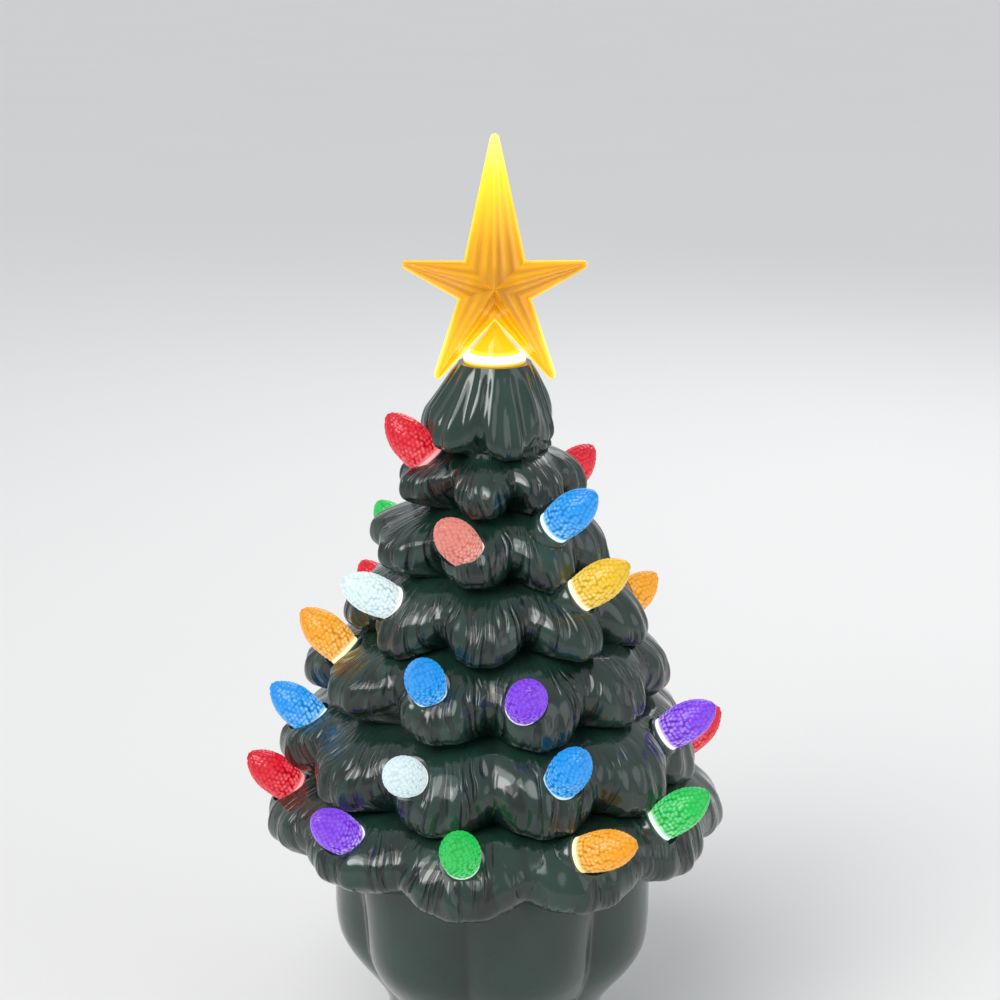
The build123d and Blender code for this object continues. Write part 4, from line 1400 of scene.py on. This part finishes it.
@dataclass
class BatteryBase:
    """Rubber feet made anew; the plate, door, cells, switch and lamp keep their CAD shapes."""

    pad_radius: float = 3.5
    pad_ring: float = 29.24
    pad_height: float = 3.0
    pad_sides: int = 40
    pad_angle: float = 40.0
    pad_turns: tuple[float, ...] = (52.0, 128.0, -128.0, -52.0)
    rubber: Moulded = Moulded("foot_rubber", (0.018, 0.018, 0.018), 0.62, grain=900.0)
    finishes: tuple[Moulded | Plated, ...] = (
        Moulded("base_plastic", (0.020, 0.034, 0.030), 0.45),
        Moulded("switch_plastic", (0.014, 0.014, 0.015), 0.40),
        Moulded("lamp_plastic", (0.72, 0.72, 0.70), 0.38, dust=0.25),
        Plated("screw_steel", (0.60, 0.60, 0.61), 0.24, (60.0, 60.0, 2000.0)),
        Plated("contact_metal", (0.72, 0.69, 0.62), 0.22, (2600.0, 90.0, 90.0)),
        Plated("switch_metal", (0.64, 0.64, 0.65), 0.30, (90.0, 2200.0, 90.0)),
    )

    def feet(self) -> bpy.types.Object:
        """Four soft-edged pads as one piece."""
        r, h = self.pad_radius, self.pad_height
        profile = [
            (r - 1.2, 0.15), (r - 0.9, 0.0), (r - 0.45, 0.0), (r - 0.12, 0.12), (r, 0.45),
            (r, h - 0.1), (r - 0.1, h),
        ]
        pad = Bench.turned("pad", profile, self.pad_sides)
        pads = []
        for turn in self.pad_turns:
            place = Matrix.Translation(heading(turn) * self.pad_ring * MM)
            pads.append(Bench.copied(pad, f"pad_{turn:.0f}", place))
        Bench.remove(pad)
        Bench.pick(*pads)
        bpy.ops.object.join()
        piece = bpy.context.object
        piece.name = "foot_pads"
        Bench.smooth(piece, self.pad_angle)
        return piece

    def build(self, nodes: dict[str, bpy.types.Object], slots: dict[str, str]) -> None:
        """Make the feet and dress the CAD nodes that stay.

        Args:
            nodes: CAD nodes by name.
            slots: Material slot of each node.
        """
        Bench.fit(self.feet(), self.rubber.material(), "tree", "foot_rubber", "rubber_feet")
        made = {finish.name: finish.material() for finish in self.finishes}
        made |= {"board": Laminate().material(), "chip": LightLens().material()}
        sleeves = {facing: CellSleeve().material(facing) for facing in (1, -1)}
        for name, node in nodes.items():
            if node.hide_render:
                continue
            if slots[name] == "cell_wrap":
                number = int(name.rsplit("_", 1)[1])
                Bench.dress(node, sleeves[1 if number % 2 else -1])
            else:
                Bench.dress(node, made[slots[name]])
            LOG.info("node %s keeps its CAD shape in %s", name, slots[name])


@dataclass(frozen=True)
class Lamp:
    """A round area lamp: where it stands, its width in metres, its watts and its colour."""

    name: str
    place: Triple
    size: float
    power: float
    tone: Colour


@dataclass
class Studio:
    """Pale floor, soft lamps and the camera at the photograph's angle."""

    floor_tone: Colour = (0.84, 0.84, 0.83)
    floor_size: float = 90.0
    world_tone: Colour = (0.93, 0.95, 1.0)
    world_level: float = 0.40
    backdrop_level: float = 0.63
    backdrop_rays: tuple[str, ...] = ("Is Camera Ray", "Is Glossy Ray", "Is Transmission Ray")
    sun_side: Triple = (-0.45, -0.75, 1.0)
    sun_strength: float = 1.5
    sun_spread: float = 45.0
    lamps: tuple[Lamp, ...] = (
        Lamp("key", (-0.75, -0.85, 1.05), 0.7, 6.0, (1.0, 0.98, 0.95)),
        Lamp("fill", (1.05, -0.65, 0.60), 1.0, 2.5, (0.95, 0.97, 1.0)),
        Lamp("back", (0.35, 0.95, 0.95), 0.7, 3.5, (1.0, 1.0, 1.0)),
    )
    lamp_aim: Triple = (0.0, 0.0, 0.14)
    aim: Triple = (0.0016, 0.0, 0.188)
    distance: float = 0.687
    elevation: float = 15.0
    lens: float = 79.2
    sensor: float = 36.0

    @staticmethod
    def turn(item: bpy.types.Object, towards: Vector) -> None:
        """Turn a lamp or the camera to look along a direction."""
        item.rotation_mode = "QUATERNION"
        item.rotation_quaternion = towards.to_track_quat("-Z", "Y")

    def floor(self) -> None:
        """Wide plain floor with a faint grain."""
        Bench.clear()
        bpy.ops.mesh.primitive_plane_add(size=self.floor_size, location=(0.0, 0.0, 0.0))
        plane = bpy.context.object
        plane.name = "floor"
        recipe = Recipe("pale_floor")
        cloud = recipe.noise(recipe.place(), 3.0, 3.0)
        darker = tuple(part * 0.97 for part in self.floor_tone)
        tone = recipe.blend(cloud, self.floor_tone, darker)
        Bench.dress(plane, recipe.done(Base_Color=tone, Roughness=0.75))

    def world(self) -> None:
        """Even light from all round, with a paler backdrop where it is seen or mirrored."""
        world = bpy.data.worlds.new("studio")
        bpy.context.scene.world = world
        world.use_nodes = True
        nodes = Nodes(world.node_tree)
        shown, *others = (
            nodes.node("ShaderNodeLightPath", {}, {}, kind) for kind in self.backdrop_rays
        )
        for other in others:
            shown = shown.most(other)
        level = shown * (self.backdrop_level - self.world_level) + self.world_level
        background = world.node_tree.nodes["Background"]
        nodes.fill(background, {"Color": rgba(self.world_tone), "Strength": level})

    def light(self) -> None:
        """A broad sun that reaches all of the floor alike, and the lamps aimed at the tree."""
        Bench.clear()
        bpy.ops.object.light_add(type="SUN", location=self.sun_side)
        sun = bpy.context.object
        sun.name = "even_light"
        sun.data.energy = self.sun_strength
        sun.data.angle = math.radians(self.sun_spread)
        self.turn(sun, -Vector(self.sun_side))
        for row in self.lamps:
            Bench.clear()
            bpy.ops.object.light_add(type="AREA", location=row.place)
            lamp = bpy.context.object
            lamp.name = row.name
            lamp.data.shape = "DISK"
            lamp.data.size = row.size
            lamp.data.energy = row.power
            lamp.data.color = row.tone
            self.turn(lamp, Vector(self.lamp_aim) - Vector(row.place))

    def camera(self) -> None:
        """Camera at the photograph's angle."""
        angle = math.radians(self.elevation)
        away = Vector((0.0, -math.cos(angle), math.sin(angle)))
        bpy.ops.object.camera_add(location=Vector(self.aim) + away * self.distance)
        camera = bpy.context.object
        self.turn(camera, -away)
        camera.data.lens = self.lens
        camera.data.sensor_width = self.sensor
        camera.data.clip_start, camera.data.clip_end = 0.01, 50.0
        bpy.context.scene.camera = camera

    def build(self) -> None:
        """Set the stage."""
        self.floor()
        self.world()
        self.light()
        self.camera()
        bpy.context.scene.view_settings.view_transform = "Standard"


def main() -> None:
    """Build the pieces in order."""
    logging.basicConfig(level=logging.INFO, format="%(name)s: %(message)s")
    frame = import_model()
    slots = {row["node"]: row["material_slot"] for row in frame["record"]["subparts"]}
    body = TreeBody()
    bulbs = BulbSet()
    seats = bulbs.seats(body)
    body.build(seats)
    bulbs.build(seats)
    StarTopper().build()
    BatteryBase().build(frame["nodes"], slots)
    Studio().build()
    Bench.clear()


if __name__ == "__main__":
    main()
